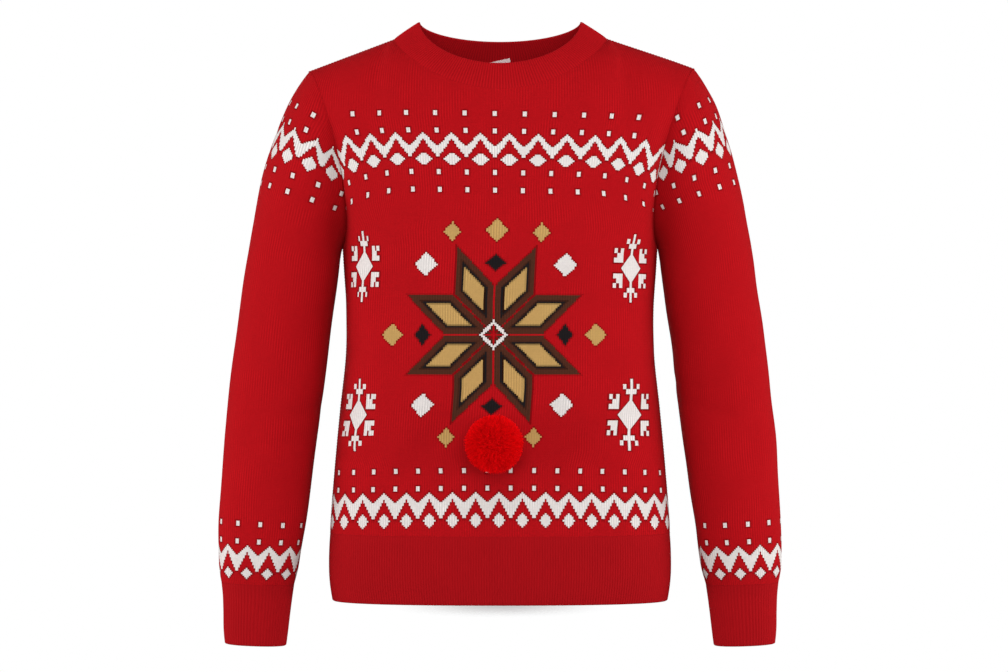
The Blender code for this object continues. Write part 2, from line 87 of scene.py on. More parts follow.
# Shoulder seam, from the collar to the top of the sleeve.
NECK_POINT = (115.0, 0.0, 0.0)
SHOULDER_TIP = (206.0, 3.0, -34.0)

# The neck seam and the collar's top edge are saddles: highest at the sides, lowest in front.
NECK_SEAM = {"half_width": 115.0, "front": 68.0, "back": 50.0, "power": 1.6}
NECK_SEAM |= {"side_z": 0.0, "front_z": -58.5, "back_z": -27.0}
NECK_TOP = {"half_width": 87.0, "front": 51.0, "back": 39.0, "power": 1.15}
NECK_TOP |= {"side_z": 19.4, "front_z": -29.5, "back_z": 2.0}
COLLAR_ROLL = 0.5
COLLAR_HEIGHT = 31.0

# Where a column of the body's upper part starts from the armpit level (rise) and how it arrives at the
# top edge (land), at these places across: 0 is the middle and 1 the side. Each vector is a third of the
# way.
NECK_ACROSS = 7 / 12
UPPER_ACROSS = (0.0, NECK_ACROSS / 2, NECK_ACROSS, 1.0)
UPPER = {
    FRONT: {
        "rise": ((0, 0, 57), (2, -1, 62), (8, -6, 68), (-20, -57, 45)),
        "land": ((0, 13, 52), (-8, 30, 44), (-24, 52, 20), (16, 61, 16)),
    },
    BACK: {
        "rise": ((0, 6, 66), (2, 6, 68), (8, 8, 72), (-18, 61, 45)),
        "land": ((0, -26, 56), (-10, -36, 41), (-24, -52, 18), (16, -65, 14)),
    },
}
CORNER_EASE = 0.22

# The left shoulder sits a little higher and wider than the right.
HIGHER_SHOULDER = {"x": 200.0, "z": -45.0, "reach": 80.0, "out": 3.5, "up": 3.0}

# Outline of the sleeve from in front (inner, outer) and from the side (front, back).
SLEEVE = (
    # z, inner, outer, front, back
    (-652.0, 230.5, 296.0, -30.0, 17.0),
    (-637.0, 228.6, 297.4, -30.5, 18.0),
    (-615.0, 226.0, 297.8, -31.0, 19.0),
    (-594.0, 223.0, 298.8, -32.0, 20.0),
    (-586.0, 221.4, 300.0, -34.0, 22.0),
    (-572.0, 217.6, 302.4, -37.0, 26.0),
    (-551.0, 214.2, 303.2, -38.0, 28.0),
    (-486.0, 204.7, 301.3, -40.0, 34.0),
    (-400.0, 193.3, 294.3, -42.0, 41.0),
    (-313.0, 182.5, 284.6, -44.0, 47.0),
    (-248.0, 174.0, 274.3, -46.0, 51.0),
    (ARMPIT_Z, 171.6, 271.0, -46.0, 52.0),
)
SLEEVE_SQUARE = 2.15
SLEEVE_TOP_Z = -236.0
CUFF_SEAM_Z = -586.0
CUFF_Z = -652.0
# How far each ring of the sleeve leans, outer side up, in degrees.
SLEEVE_LEAN = ((CUFF_Z, 2.0), (CUFF_SEAM_Z, 2.0), (-400.0, 7.0), (SLEEVE_TOP_Z, 14.0))
# The sleeve's cap leaves the armhole this way at the armpit, at the front and back, and at the tip.
CAP_LEAVES = {"armpit": (2.0, 0.0, -6.0), "middle": (26.0, 16.0, -16.0), "tip": (38.0, 0.0, -46.0)}
CAP_ARRIVES = {"armpit": 4.0, "tip": 58.0}
ARMHOLE_OUT = 0.3

# Largest folds: troughs in the cloth, the same on the left and the right. Each runs from one point to
# another, seen from the front.
FOLDS = (
    # panel, x0, z0, x1, z1, half_width, depth
    (FRONT, 150.0, -196.0, 116.0, -286.0, 26.0, 4.0),
    (FRONT, 166.0, -400.0, 110.0, -462.0, 24.0, 2.5),
    (BACK, 146.0, -196.0, 110.0, -280.0, 27.0, 4.0),
    (BACK, 30.0, -330.0, 150.0, -366.0, 24.0, 3.0),
)
FOLD_FADE = 0.1

# Shallow creases that differ from left to right. A panel's run from one point to another, seen from the
# front. A sleeve's are given by the way round from its inner side by the front, and by their level.
CREASES = (
    # panel, x0, z0, x1, z1, half_width, depth
    (FRONT, -150.0, -212.0, -88.0, -230.0, 10.0, 1.0),
    (FRONT, 152.0, -206.0, 96.0, -216.0, 9.0, 0.8),
    (FRONT, -172.0, -446.0, -112.0, -470.0, 11.0, 0.9),
    (FRONT, 168.0, -352.0, 122.0, -368.0, 10.0, 0.7),
    (BACK, -150.0, -150.0, -64.0, -172.0, 13.0, 1.1),
    (BACK, 136.0, -162.0, 52.0, -170.0, 12.0, 0.9),
    (BACK, -92.0, -424.0, 62.0, -440.0, 14.0, 1.0),
    (BACK, 158.0, -286.0, 96.0, -304.0, 11.0, 0.9),
)
SLEEVE_CREASES = (
    # side, turn0, z0, turn1, z1, half_width, depth
    (1, 0.2, -388.0, 1.5, -402.0, 9.0, 1.2),
    (1, -0.5, -366.0, 0.9, -376.0, 8.0, 0.9),
    (1, 4.2, -404.0, 5.6, -392.0, 10.0, 1.1),
    (-1, 0.1, -396.0, 1.3, -406.0, 9.0, 1.1),
    (-1, 0.4, -428.0, 1.7, -436.0, 8.0, 0.8),
    (-1, 4.4, -378.0, 5.7, -390.0, 10.0, 1.2),
)
SLEEVE_RADIUS = 45.0
# Long soft waves of the cloth, each with its lengths across and up, its turn and its height.
WAVES = (
    # across, up, turn, height
    (93.0, 141.0, 0.4, 0.40),
    (-67.0, 118.0, 2.1, 0.30),
    (49.0, -77.0, 4.0, 0.20),
)

# How finely the cloth is made.
COLUMNS = 144
LOWER_ROWS = 66
UPPER_ROWS = 60
CAP_ROWS = 42
ARM_ROWS = 66
NECK_FROM = round((1 - NECK_ACROSS) / 2 * COLUMNS)
NECK_TO = COLUMNS - NECK_FROM
# Stretches of a panel's grid: its neck seam, its shoulder seams, and its edges below and over the armpit.
NECK = slice(NECK_FROM, NECK_TO + 1)
SHOULDERS = (slice(0, NECK_FROM + 1), slice(NECK_TO, None))
SIDE = slice(0, LOWER_ROWS + 1)
ARMHOLE = slice(LOWER_ROWS, None)
HEM_RIBS = 156
CUFF_RIBS = 68
COLLAR_RIBS = 224
FACES_A_RIB = 6
RIB_ROWS = 14
SECTION_STEPS = 480
EASE_STEPS = 17
# An edge sharper than this, in degrees, isn't smoothed.
SHARP_EDGE = 50

# Pompom, sewn to the front by its round core, whose middle lies this far out of the cloth (seat). The
# cloth behind it tilts by that many degrees.
POMPOM = {"x": -6.0, "z": -433.0, "seat": 23.5, "tilt": 5.4, "seed": 3}
# Its strands stand all round, apart from the very middle of the side that faces the cloth (Bare, as a
# share of the core's radius), and end short of the cloth, this far from the core's middle (Room).
FIBRES = {"Core": 22.0, "Reach": 32.5, "Room": 23.2, "Bare": 0.97, "Strand Radius": 0.27, "Lean": 0.5}
FIBRES |= {"Strands": 7000.0}
# A strand's form, as shares of its length: where it bends, how far over and how high it ends. Then how
# much thinner it is there, the length of the shortest, and how far it leans to any side, in radians.
STRAND = {"bends": 0.55, "over": 0.55, "high": 0.9, "thinner": 0.45, "shortest": 0.78, "leans": 0.42}
# The strands stand in tufts: how many to a metre, and the share of their length from short to long ones.
TUFTS = {"scale": 118.0, "short": 0.86, "more": 0.28}
SEEDS = {"lean": 11, "length": 12, "lot": 13}
# A stitch of the seams, and how far it is to the next.
SEAM_STITCH = {"Pitch": 3.2, "Long": 1.5, "Thick": 0.5}

# Neck label, sewn in at the back.
LABEL = {"x": -1.2, "half_width": 15.0, "lift": 0.8, "wall": 0.6}
# It sits a little askew: its middle, its half height, how far it is turned, in degrees, and its faces.
LABEL |= {"z": -32.6, "half_height": 14.0, "turned": 12.0, "columns": 4, "rows": 12}


# ---------------------------------------------------------------- curves and grids


def unit(vectors):
    return vectors / np.maximum(np.linalg.norm(vectors, axis=-1, keepdims=True), 1e-9)


def smooth(x, stations, values):
    """A smooth curve through the values at the stations. Each value may be a vector."""
    stations, values = np.asarray(stations, float), np.asarray(values, float)
    slopes = np.gradient(values, stations, axis=0)
    x = np.asarray(x, float)
    i = np.clip(np.searchsorted(stations, x, side="right") - 1, 0, len(stations) - 2)
    step = stations[i + 1] - stations[i]
    t = (x - stations[i]) / step
    if values.ndim > 1:
        t, step = t[..., None], step[..., None]
    start = (1 + 2 * t) * (1 - t) ** 2 * values[i] + t * (1 - t) ** 2 * step * slopes[i]
    return start + t * t * (3 - 2 * t) * values[i + 1] + t * t * (t - 1) * step * slopes[i + 1]


def column_of(table, name, names, at):
    """One named column of a table, read at the levels at."""
    rows = np.array(table, float)
    return smooth(at, rows[:, 0], rows[:, names.index(name)])


def body_size(name, z):
    return column_of(BODY, name, ("z", "half_width", "front", "back", "square"), z)


def sleeve_size(name, z):
    return column_of(SLEEVE, name, ("z", "inner", "outer", "front", "back"), z)


def run(steps, axis=0):
    """How far each point lies along a line, from the steps between the points."""
    start = np.zeros_like(np.take(steps, [0], axis=axis))
    return np.concatenate([start, np.cumsum(steps, axis=axis)], axis=axis)


def spaced(points, fractions):
    """The points at those fractions of the length of a line."""
    along = run(np.linalg.norm(np.diff(points, axis=0), axis=1))
    at = np.asarray(fractions) * along[-1]
    return np.stack([np.interp(at, along, points[:, k]) for k in range(3)], axis=1)


def turns(count):
    """Equal turns round a ring, from 0."""
    return np.linspace(0, 2 * math.pi, count, endpoint=False)


def squared(wave, square):
    """A sine or cosine, drawn out towards the corners of a superellipse of that power."""
    return np.sign(wave) * np.abs(wave) ** (2 / square)


def bezier(start, leave, arrive, end, t):
    """Points at t of cubic curves from start to end. leave and arrive are a third of the end slopes."""
    one, two = start + leave, end - arrive
    return (1 - t) ** 3 * start + 3 * t * (1 - t) ** 2 * one + 3 * t * t * (1 - t) * two + t**3 * end


def eased(curve, across, width):
    """A curve over across, -1 to 1, averaged over a stretch of that half width. Its ends stay put."""
    total, weights = 0.0, 0.0
    for step in np.linspace(-2, 2, EASE_STEPS):
        at = across + step * width
        beyond = (np.abs(at) > 1)[:, None]
        end = np.sign(at)
        folded = np.where(np.abs(at) > 1, 2 * end - at, at)
        weight = math.exp(-step * step)
        total = total + weight * np.where(beyond, 2 * curve(end) - curve(folded), curve(folded))
        weights += weight
    return total / weights


def grid_normals(grid, closed, outward):
    """Unit normals of a grid of points, turned to the side that outward says."""
    up = np.gradient(grid, axis=0)
    if closed:
        side = (np.roll(grid, -1, axis=1) - np.roll(grid, 1, axis=1)) / 2
    else:
        side = np.gradient(grid, axis=1)
    normals = unit(np.cross(side, up))
    facing = (normals * outward).sum()
    return normals if facing > 0 else -normals


# ---------------------------------------------------------------- form of the body


def half_section(z, side, fractions):
    """The front or back half of the body's section at height z, from -X to +X."""
    turn = np.linspace(0, math.pi, SECTION_STEPS + 1)
    square = body_size("square", z)
    depth = body_size("front" if side == FRONT else "back", z)
    x = -squared(np.cos(turn), square) * body_size("half_width", z)
    y = SIDE_Y + side * depth * squared(np.sin(turn), square)
    return spaced(np.stack([x, y, np.full_like(x, z)], axis=1), fractions)


def saddle(sizes, turn):
    """A ring round the neck. turn is 0 at +X, a quarter at the front and three quarters at the back."""
    sine, cosine = np.sin(turn), np.cos(turn)
    front = sine >= 0
    depth = np.where(front, sizes["front"], sizes["back"])
    drop = np.where(front, sizes["front_z"], sizes["back_z"]) - sizes["side_z"]
    z = sizes["side_z"] + drop * np.abs(sine) ** sizes["power"]
    return np.stack([sizes["half_width"] * cosine, -depth * sine, z], axis=-1)


def top_edge(side, across):
    """The panel's top edge: neck seam in the middle, then shoulder seams. across runs from -1 to 1."""
    away = np.abs(across)
    turn = math.pi / 2 * (1 - np.minimum(away / NECK_ACROSS, 1))
    neck = saddle(NECK_SEAM, turn if side == FRONT else -turn)
    share = np.clip((away - NECK_ACROSS) / (1 - NECK_ACROSS), 0, 1)[:, None]
    shoulder = np.array(NECK_POINT) * (1 - share) + np.array(SHOULDER_TIP) * share
    edge = np.where(away[:, None] <= NECK_ACROSS, neck, shoulder)
    edge[:, 0] *= np.where(across < 0, -1, 1)
    return edge


def slope(side, name, across):
    made = smooth(np.abs(across), UPPER_ACROSS, UPPER[side][name])
    made[:, 0] *= np.where(across < 0, -1, 1)
    return made


def fold_depth(panel, x, z):
    """How far the folds push the cloth in, at points seen from the front."""
    depth = np.zeros_like(x)
    for side, *fold in FOLDS:
        if side == panel:
            depth += trough(np.abs(x), z, *fold)
    for side, *crease in CREASES:
        if side == panel:
            depth += trough(x, z, *crease)
    return depth


def trough(x, z, x0, z0, x1, z1, half_width, deep):
    """Depth of a soft trough between two points."""
    run_x, run_z = x1 - x0, z1 - z0
    along = np.clip(((x - x0) * run_x + (z - z0) * run_z) / (run_x**2 + run_z**2), 0, 1)
    away = np.hypot(x - x0 - along * run_x, z - z0 - along * run_z)
    return deep * np.exp(-((away / half_width) ** 2))


def waver(points):
    """How far the cloth's long soft waves lift it."""
    lift = np.zeros(points.shape[:-1])
    for across, up, turn, height in WAVES:
        lift += height * np.sin(2 * math.pi * (points[..., 0] / across + points[..., 2] / up) + turn)
    return lift


def body_grid(side):
    """Outer points of the front or back panel, row by row from the hem seam to the top edge."""
    across = np.linspace(-1, 1, COLUMNS + 1)
    levels = np.linspace(HEM_SEAM_Z, ARMPIT_Z, LOWER_ROWS + 1)
    lower = [half_section(z, side, (across + 1) / 2) for z in levels]
    upper = []
    for t in np.linspace(0, 1, UPPER_ROWS + 1)[1:]:
        width = CORNER_EASE * (1 - t) + 1e-6
        top = eased(lambda at: top_edge(side, at), across, width)
        land = eased(lambda at: slope(side, "land", at), across, width)
        upper.append(bezier(lower[-1], slope(side, "rise", across), land, top, t))
    grid = np.stack(lower + upper)
    height = np.linspace(0, 1, len(grid))[:, None]
    inside = np.minimum(1 - np.abs(across), np.minimum(height, 1 - height)) / FOLD_FADE
    depth = (fold_depth(side, grid[..., 0], grid[..., 2]) - waver(grid)) * np.clip(inside, 0, 1)
    return grid - grid_normals(grid, False, np.array([0, side, 0])) * depth[..., None]


# ---------------------------------------------------------------- form of the sleeve


def sleeve_ring(z, count):
    """One ring of the sleeve. It starts at the inner side and goes by the front to the outer side."""
    lean = math.radians(float(smooth(z, *zip(*SLEEVE_LEAN))))
    half = (sleeve_size("outer", z) - sleeve_size("inner", z)) / 2
    inner_z, outer_z = z - half * math.sin(lean), z + half * math.sin(lean)
    levels = [row[0] for row in SLEEVE]
    inner_x = sleeve_size("inner", max(inner_z, levels[0]))
    outer_x = sleeve_size("outer", min(outer_z, levels[-1]))
    middle = np.array([(inner_x + outer_x) / 2, 0, z])
    reach = np.array([(outer_x - inner_x) / 2, 0, (outer_z - inner_z) / 2])
    front, back = sleeve_size("front", z), sleeve_size("back", z)
    turn = turns(count)
    ring = middle - squared(np.cos(turn), SLEEVE_SQUARE)[:, None] * reach
    ring[:, 1] = (front + back) / 2 + squared(np.sin(turn), SLEEVE_SQUARE) * (front - back) / 2
    return ring


def sleeve_grid(armhole):
    """Outer points of the sleeve, ring by ring from the cuff seam up to the armhole."""
    count = len(armhole)
    levels = np.linspace(CUFF_SEAM_Z, SLEEVE_TOP_Z, ARM_ROWS + 1)
    arm = np.stack([sleeve_ring(z, count) for z in levels])
    turn = turns(count)
    bulge = np.sin(turn)
    share, swing = ((1 - np.cos(turn)) / 2)[:, None], np.abs(bulge)[:, None]
    ends = np.array(CAP_LEAVES["armpit"]) * (1 - share) + np.array(CAP_LEAVES["tip"]) * share
    middle = np.tile(CAP_LEAVES["middle"], (count, 1))
    middle[:, 1] *= -np.sign(bulge)
    leave = ends * (1 - swing) + middle * swing
    along = unit(arm[-2] - arm[-1])
    arrive = along * (CAP_ARRIVES["armpit"] * (1 - share) + CAP_ARRIVES["tip"] * share)
    steps = np.linspace(1, 0, CAP_ROWS + 1)[1:]
    cap = [bezier(armhole, leave, arrive, arm[-1], t) for t in steps]
    return np.concatenate([arm, cap])


def creased_sleeve(grid, normals, side):
    """A sleeve's outer points with its creases and waves. side is 1 for the left sleeve."""
    turn, z = turns(grid.shape[1]), grid[..., 2]
    depth = -waver(grid * np.array([side, 1, 1]))
    for which, turn0, z0, turn1, z1, half_width, deep in SLEEVE_CREASES:
        if which == side:
            x0, x1 = turn0 * SLEEVE_RADIUS, turn1 * SLEEVE_RADIUS
            for round_again in (-2 * math.pi, 0, 2 * math.pi):
                x = (turn + round_again) * SLEEVE_RADIUS
                depth += trough(x, z, x0, z0, x1, z1, half_width, deep)
    height = np.linspace(0, 1, len(grid))[:, None]
    return grid - normals * (depth * np.clip(np.minimum(height, 1 - height) / FOLD_FADE, 0, 1))[..., None]


def around_armhole(grids):
    """The left armhole's ring: up the front from the armpit, over the shoulder, and down the back."""
    front, back = (grids[side][ARMHOLE, COLUMNS] for side in (FRONT, BACK))
    return np.concatenate([front, back[-2:0:-1]])


# ---------------------------------------------------------------- shells of cloth


def settled(points):
    """The points once the left shoulder has been lifted."""
    x, z, reach = HIGHER_SHOULDER["x"], HIGHER_SHOULDER["z"], HIGHER_SHOULDER["reach"]
    away = ((points[:, 0] - x) ** 2 + (points[:, 2] - z) ** 2) / reach**2
    lift = np.array([HIGHER_SHOULDER["out"], 0, HIGHER_SHOULDER["up"]])
    return points + np.exp(-away)[:, None] * lift


def set_back(outer, inner, where, towards, closed=False):
    """Moves an edge of a wall half a seam gap back, to the side that towards points to."""
    edge = outer[where]
    along = np.roll(edge, -1, axis=0) - np.roll(edge, 1, axis=0) if closed else np.gradient(edge, axis=0)
    away = unit(np.cross(along, edge - inner[where]))
    away *= np.sign((away * np.array(towards, float)).sum(axis=-1, keepdims=True))
    outer[where] += away * SEAM_GAP / 2
    inner[where] += away * SEAM_GAP / 2


def fill_strip(fine, coarse):
    """Triangles between two lines of points, the first with a whole multiple of the second's steps."""
    faces = []
    times = (len(fine) - 1) // (len(coarse) - 1)
    for i in range(len(coarse) - 1):
        start, middle, end = i * times, i * times + (times + 1) // 2, (i + 1) * times
        for k in range(start, end):
            faces.append((fine[k], fine[k + 1], coarse[i] if k < middle else coarse[i + 1]))
        faces.append((fine[middle], coarse[i + 1], coarse[i]))
    return faces


def shell(name, outer, inner, wales, closed, material):
    """A closed wall between two grids of points. The outer one may have more columns.

    wales gives each outer point's place in the knit, along a course and up a wale. A closed grid's
    wales have one column more than its points. The wall's inner faces are marked as lined.
    """
    rows, fine = outer.shape[:2]
    coarse = inner.shape[1]
    times = (wales.shape[1] - 1) // (coarse if closed else coarse - 1)
    faces, places = [], []

    def outside(r, c):
        return r * fine + c % fine

    def inside(r, c):
        return rows * fine + r * coarse + c % coarse

    for at, count, step in ((outside, fine, 1), (inside, coarse, times)):
        for r in range(rows - 1):
            for c in range(count if closed else count - 1):
                corners = ((r, c), (r, c + 1), (r + 1, c + 1), (r + 1, c))
                faces.append([at(*corner) for corner in corners])
                places.append([wales[i, j * step] for i, j in corners])
    lined = np.zeros(len(faces))
    lined[-(rows - 1) * (coarse if closed else coarse - 1) :] = 1
    for r in (0, rows - 1):
        one = [outside(r, c) for c in range(fine + closed)]
        faces += fill_strip(one, [inside(r, c) for c in range(coarse + closed)])
    if not closed:
        for c, d in ((0, 0), (fine - 1, coarse - 1)):
            for r in range(rows - 1):
                faces.append((outside(r, c), outside(r + 1, c), inside(r + 1, d), inside(r, d)))
    inner_wales = wales[:, ::times][:, :coarse]
    flat_wales = np.concatenate([wales[:, :fine].reshape(-1, 2), inner_wales.reshape(-1, 2)])
    places += [flat_wales[list(face)] for face in faces[len(places) :]]
    lined = np.concatenate([lined, np.zeros(len(faces) - len(lined))])
    points = np.concatenate([outer.reshape(-1, 3), inner.reshape(-1, 3)])
    return cloth_object(name, points, faces, places, lined, material)


def cloth_object(name, points, faces, places, lined, material):
    """A piece of cloth. places gives each face's corners their places in the knit."""
    mesh = bpy.data.meshes.new(name)
    mesh.from_pydata((settled(points) * MM).tolist(), [], faces)
    layer = mesh.uv_layers.new(name="wales")
    layer.data.foreach_set("uv", np.concatenate([np.ravel(place) for place in places]).astype(np.float32))
    marks = mesh.attributes.new("lined", "FLOAT", "FACE")
    marks.data.foreach_set("value", lined.astype(np.float32))
    shape = bmesh.new()
    shape.from_mesh(mesh)
    bmesh.ops.recalc_face_normals(shape, faces=shape.faces)
    shape.to_mesh(mesh)
    shape.free()
    mesh.shade_smooth()
    mesh.set_sharp_from_angle(angle=math.radians(SHARP_EDGE))
    mesh.materials.append(material)
    return placed(name + "_cloth", mesh)


def placed(name, data):
    """A new object in the scene."""
    made = bpy.data.objects.new(name, data)
    bpy.context.scene.collection.objects.link(made)
    return made


# ---------------------------------------------------------------- node trees


class Number:
    """A number in a node tree. Arithmetic on it adds Math nodes."""

    def __init__(self, tree, socket):
        self.tree = tree
        self.socket = socket

    def __rsub__(self, other):
        return calculated(self.tree, "SUBTRACT", other, self)

    def between(self, low, high):
        """0 at low, 1 at high, and a smooth step from one to the other."""
        inputs = {"Value": self, "From Min": low, "From Max": high}
        node = add(self.tree, "ShaderNodeMapRange", inputs, interpolation_type="SMOOTHSTEP")
        return Number(self.tree, node.outputs["Result"])


# The other methods of a Number, and the Math node that each adds.
OPERATIONS = {
    "__add__": "ADD",
    "__radd__": "ADD",
    "__sub__": "SUBTRACT",
    "__mul__": "MULTIPLY",
    "__rmul__": "MULTIPLY",
    "__truediv__": "DIVIDE",
    "__pow__": "POWER",
    "__abs__": "ABSOLUTE",
    "floor": "FLOOR",
    "fraction": "FRACT",
    "sine": "SINE",
    "cosine": "COSINE",
    "under": "LESS_THAN",
    "lower": "MINIMUM",
    "higher": "MAXIMUM",
}


def calculated(tree, operation, *values):
    """The number that a Math node makes of the values."""
    node = add(tree, "ShaderNodeMath", operation=operation)
    for slot, value in zip(node.inputs, values):
        put(tree, slot, value)
    return Number(tree, node.outputs[0])


def arithmetic(operation):
    return lambda number, *others: calculated(number.tree, operation, number, *others)


for method, operation in OPERATIONS.items():
    setattr(Number, method, arithmetic(operation))


def put(tree, slot, value):
    """Sets a node's input to a value, or links it to the socket that makes the value."""
    if isinstance(value, Number):
        value = value.socket
    if isinstance(value, bpy.types.NodeSocket):
        tree.links.new(value, slot)
    else:
        slot.default_value = value


def fill(tree, node, values):
    """Sets or links a node's inputs, given by name."""
    for name, value in values.items():
        put(tree, node.inputs[name], value)


def add(tree, kind, inputs=None, **settings):
    """A new node with those settings, and with its inputs set or linked."""
    node = tree.nodes.new(kind)
    for name, value in settings.items():
        setattr(node, name, value)
    fill(tree, node, inputs or {})
    return node


def split(tree, vector):
    """The numbers X, Y and Z of a vector."""
    node = add(tree, "ShaderNodeSeparateXYZ", {"Vector": vector})
    return [Number(tree, socket) for socket in node.outputs]


# The sockets of a group that aren't numbers, by their names.
SOCKETS = {"Geometry": "NodeSocketGeometry", "Material": "NodeSocketMaterial"}


def new_socket(tree, label, in_out):
    socket_type = SOCKETS.get(label, "NodeSocketFloat")
    return tree.interface.new_socket(label, in_out=in_out, socket_type=socket_type)


def new_group(name, kind, inputs, outputs):
    """A node group: its tree, its inputs by name and its output node. inputs gives the usual values."""
    tree = bpy.data.node_groups.new(name, kind)
    for label, value in inputs.items():
        socket = new_socket(tree, label, "INPUT")
        if label not in SOCKETS:
            socket.default_value = value
    for label in outputs:
        new_socket(tree, label, "OUTPUT")
    enter, leave = tree.nodes.new("NodeGroupInput"), tree.nodes.new("NodeGroupOutput")
    given = {label: Number(tree, enter.outputs[label]) for label in inputs}
    return tree, given, leave


def use(tree, group, values=None):
    """The numbers that a group makes, by name, from its inputs by name."""
    node = add(tree, "ShaderNodeGroup", values, node_tree=group)
    return {socket.name: Number(tree, socket) for socket in node.outputs}


def mixed(tree, kind, share, one, two):
    """The colour one, mixed with two by that share."""
    node = add(tree, "ShaderNodeMix", data_type="RGBA", blend_type=kind)
    for slot, value in ((node.inputs[0], share), (node.inputs[6], one), (node.inputs[7], two)):
        put(tree, slot, value)
    return node.outputs[2]


def scaled(tree, colour, share):
    """The colour times a number."""
    grey = add(tree, "ShaderNodeCombineColor", {"Red": share, "Green": share, "Blue": share})
    return mixed(tree, "MULTIPLY", 1.0, colour, grey.outputs[0])


# ---------------------------------------------------------------- yarns

WALE = 2.0
COURSE = 1.7
RED = (0.47, 0.0042, 0.0080, 1)
RIB_RED = (0.355, 0.0037, 0.0068, 1)
COLLAR_RED = (0.46, 0.0044, 0.0083, 1)
WHITE = (0.82, 0.765, 0.74, 1)
BROWN = (0.078, 0.024, 0.013, 1)
TAN = (0.56, 0.34, 0.115, 1)
BLACK = (0.012, 0.010, 0.011, 1)
POMPOM_RED = (0.93, 0.0016, 0.0040, 1)
# The label tape is white; its pink tint is painted red light bounced from the knit.
LABEL_WHITE_AND_BOUNCE = (1.0, 0.78, 0.78, 1)
SHEEN_RED = (1.0, 0.16, 0.16, 1)
# Painted shade and light in lines along the wales, in patches: how far apart, and their share of the shade.
PAINTED_WALE_LINES = {"apart": 2.8, "share": 0.17}
# How far the legs of a stitch slant, as a share of its height.
SLANT = 0.8
# A stitch's height where it is lowest along its leg, the powers that round its yarn and its bead, how
# much painted shade darkens its lowest parts, and how far the shades of stitches differ.
STITCH = {"low": 0.35, "yarn": 0.5, "bead": 0.6, "dark": 0.28, "uneven": 0.06}
# The constants of a yarn's shader, and of knitted cloth's.
YARN = {"Metallic": 0.0, "Specular IOR Level": 0.05, "Sheen Weight": 0.0, "Sheen Roughness": 0.45}
YARN |= {"Sheen Tint": SHEEN_RED}
KNITTED = YARN | {"Sheen Weight": 0.04}
# How strongly the relief of each kind of cloth shows, and how deep it is.
RELIEF = {"knit": 0.55, "rib": 0.24, "plain": 0.3, "depth": 0.6}
# Loose fibre: how fine its two noises are, to a metre, and how far it lifts the cloth's own relief.
FUZZ = {"fine": 900.0, "broad": 28.0, "lift": 0.35}
# The cloth's roughness, and how much more it is where the fibre stands up.
FUZZ |= {"rough": 0.80, "rougher": 0.15}
# Painted shade: how much darker the ribs are between them.
RIB_PAINTED_SHADE = 0.10
COLLAR_PAINTED_SHADE = 0.26
# A motif's dark outline, painted shade round it: where it starts and is full, and its share of the shade.
MOTIF_RIM_SHADE = {"outer": 1.7, "inner": 0.5, "dark": 0.5}


def knit_group():
    """Stitches of plain knit: the middle of a place's stitch, and its height, painted shade and lot."""
    inputs = {"U": 0.0, "V": 0.0, "Wale": WALE, "Course": COURSE}
    outputs = ("Cell U", "Cell V", "Height", "Shade", "Lot")
    tree, given, leave = new_group("plain_knit", "ShaderNodeTree", inputs, outputs)
    across, up = given["U"] / given["Wale"], given["V"] / given["Course"]
    column, row = across.floor(), up.floor()
    leg = abs(across.fraction() - 0.5) * 2
    slanted = (up - leg * SLANT).fraction()
    yarn = 1.0 - abs(leg - 0.5) * 2
    bead = 1.0 - abs(slanted - 0.5) * 2
    rounded = STITCH["low"] + (1 - STITCH["low"]) * bead.higher(0.0) ** STITCH["bead"]
    height = (yarn.higher(0.0) ** STITCH["yarn"]) * rounded
    place = add(tree, "ShaderNodeCombineXYZ", {"X": column, "Y": row}).outputs[0]
    random = add(tree, "ShaderNodeTexWhiteNoise", {"Vector": place}, noise_dimensions="2D")
    made = {"Cell U": (column + 0.5) * given["Wale"], "Cell V": (row + 0.5) * given["Course"]}
    # Painted shade: each stitch is darker where it is low, between the stitches.
    shade = 1 - STITCH["dark"] + STITCH["dark"] * height
    made |= {"Height": height, "Shade": shade, "Lot": random.outputs["Value"]}
    fill(tree, leave, made)
    return tree


def box_distance(x, y, half_x, half_y):
    """How far a place, as x and y from the middle of a rectangle, lies outside it."""
    return (abs(x) - half_x).higher(abs(y) - half_y)


def diamond_distance(x, y, half_x, half_y):
    return (abs(x) / half_x + abs(y) / half_y - 1.0) * (half_x * half_y / math.hypot(half_x, half_y))


# Further than any place on the cloth.
FAR = 1000.0
# A patterned band: a zigzag with a diamond under each peak, and rows of dots over and under its valleys.
# Level is that of the peaks. The sizes are half sizes, and how far down from the peaks each line lies. A
# dot row at 0 isn't there. The upper two rows of dots run along the course from From to To.
DOT_ROWS = ("Dots 1", "Dots 2", "Dots 3", "Dots 4")
BAND_SIZES = ("Repeat", "Phase", "Level", "Valley", "Apex", "Tip", "Diamond", "Diamond Wide")
BAND_SIZES += ("Diamond High",) + DOT_ROWS + ("From", "To")
DOT = {"Dot Wide": WALE, "Dot High": COURSE * 1.5}
# Straight to a zigzag's or a diamond's side is this share of the way along the wale.
STRAIGHT = {"zigzag": 0.6, "diamond": 0.7}


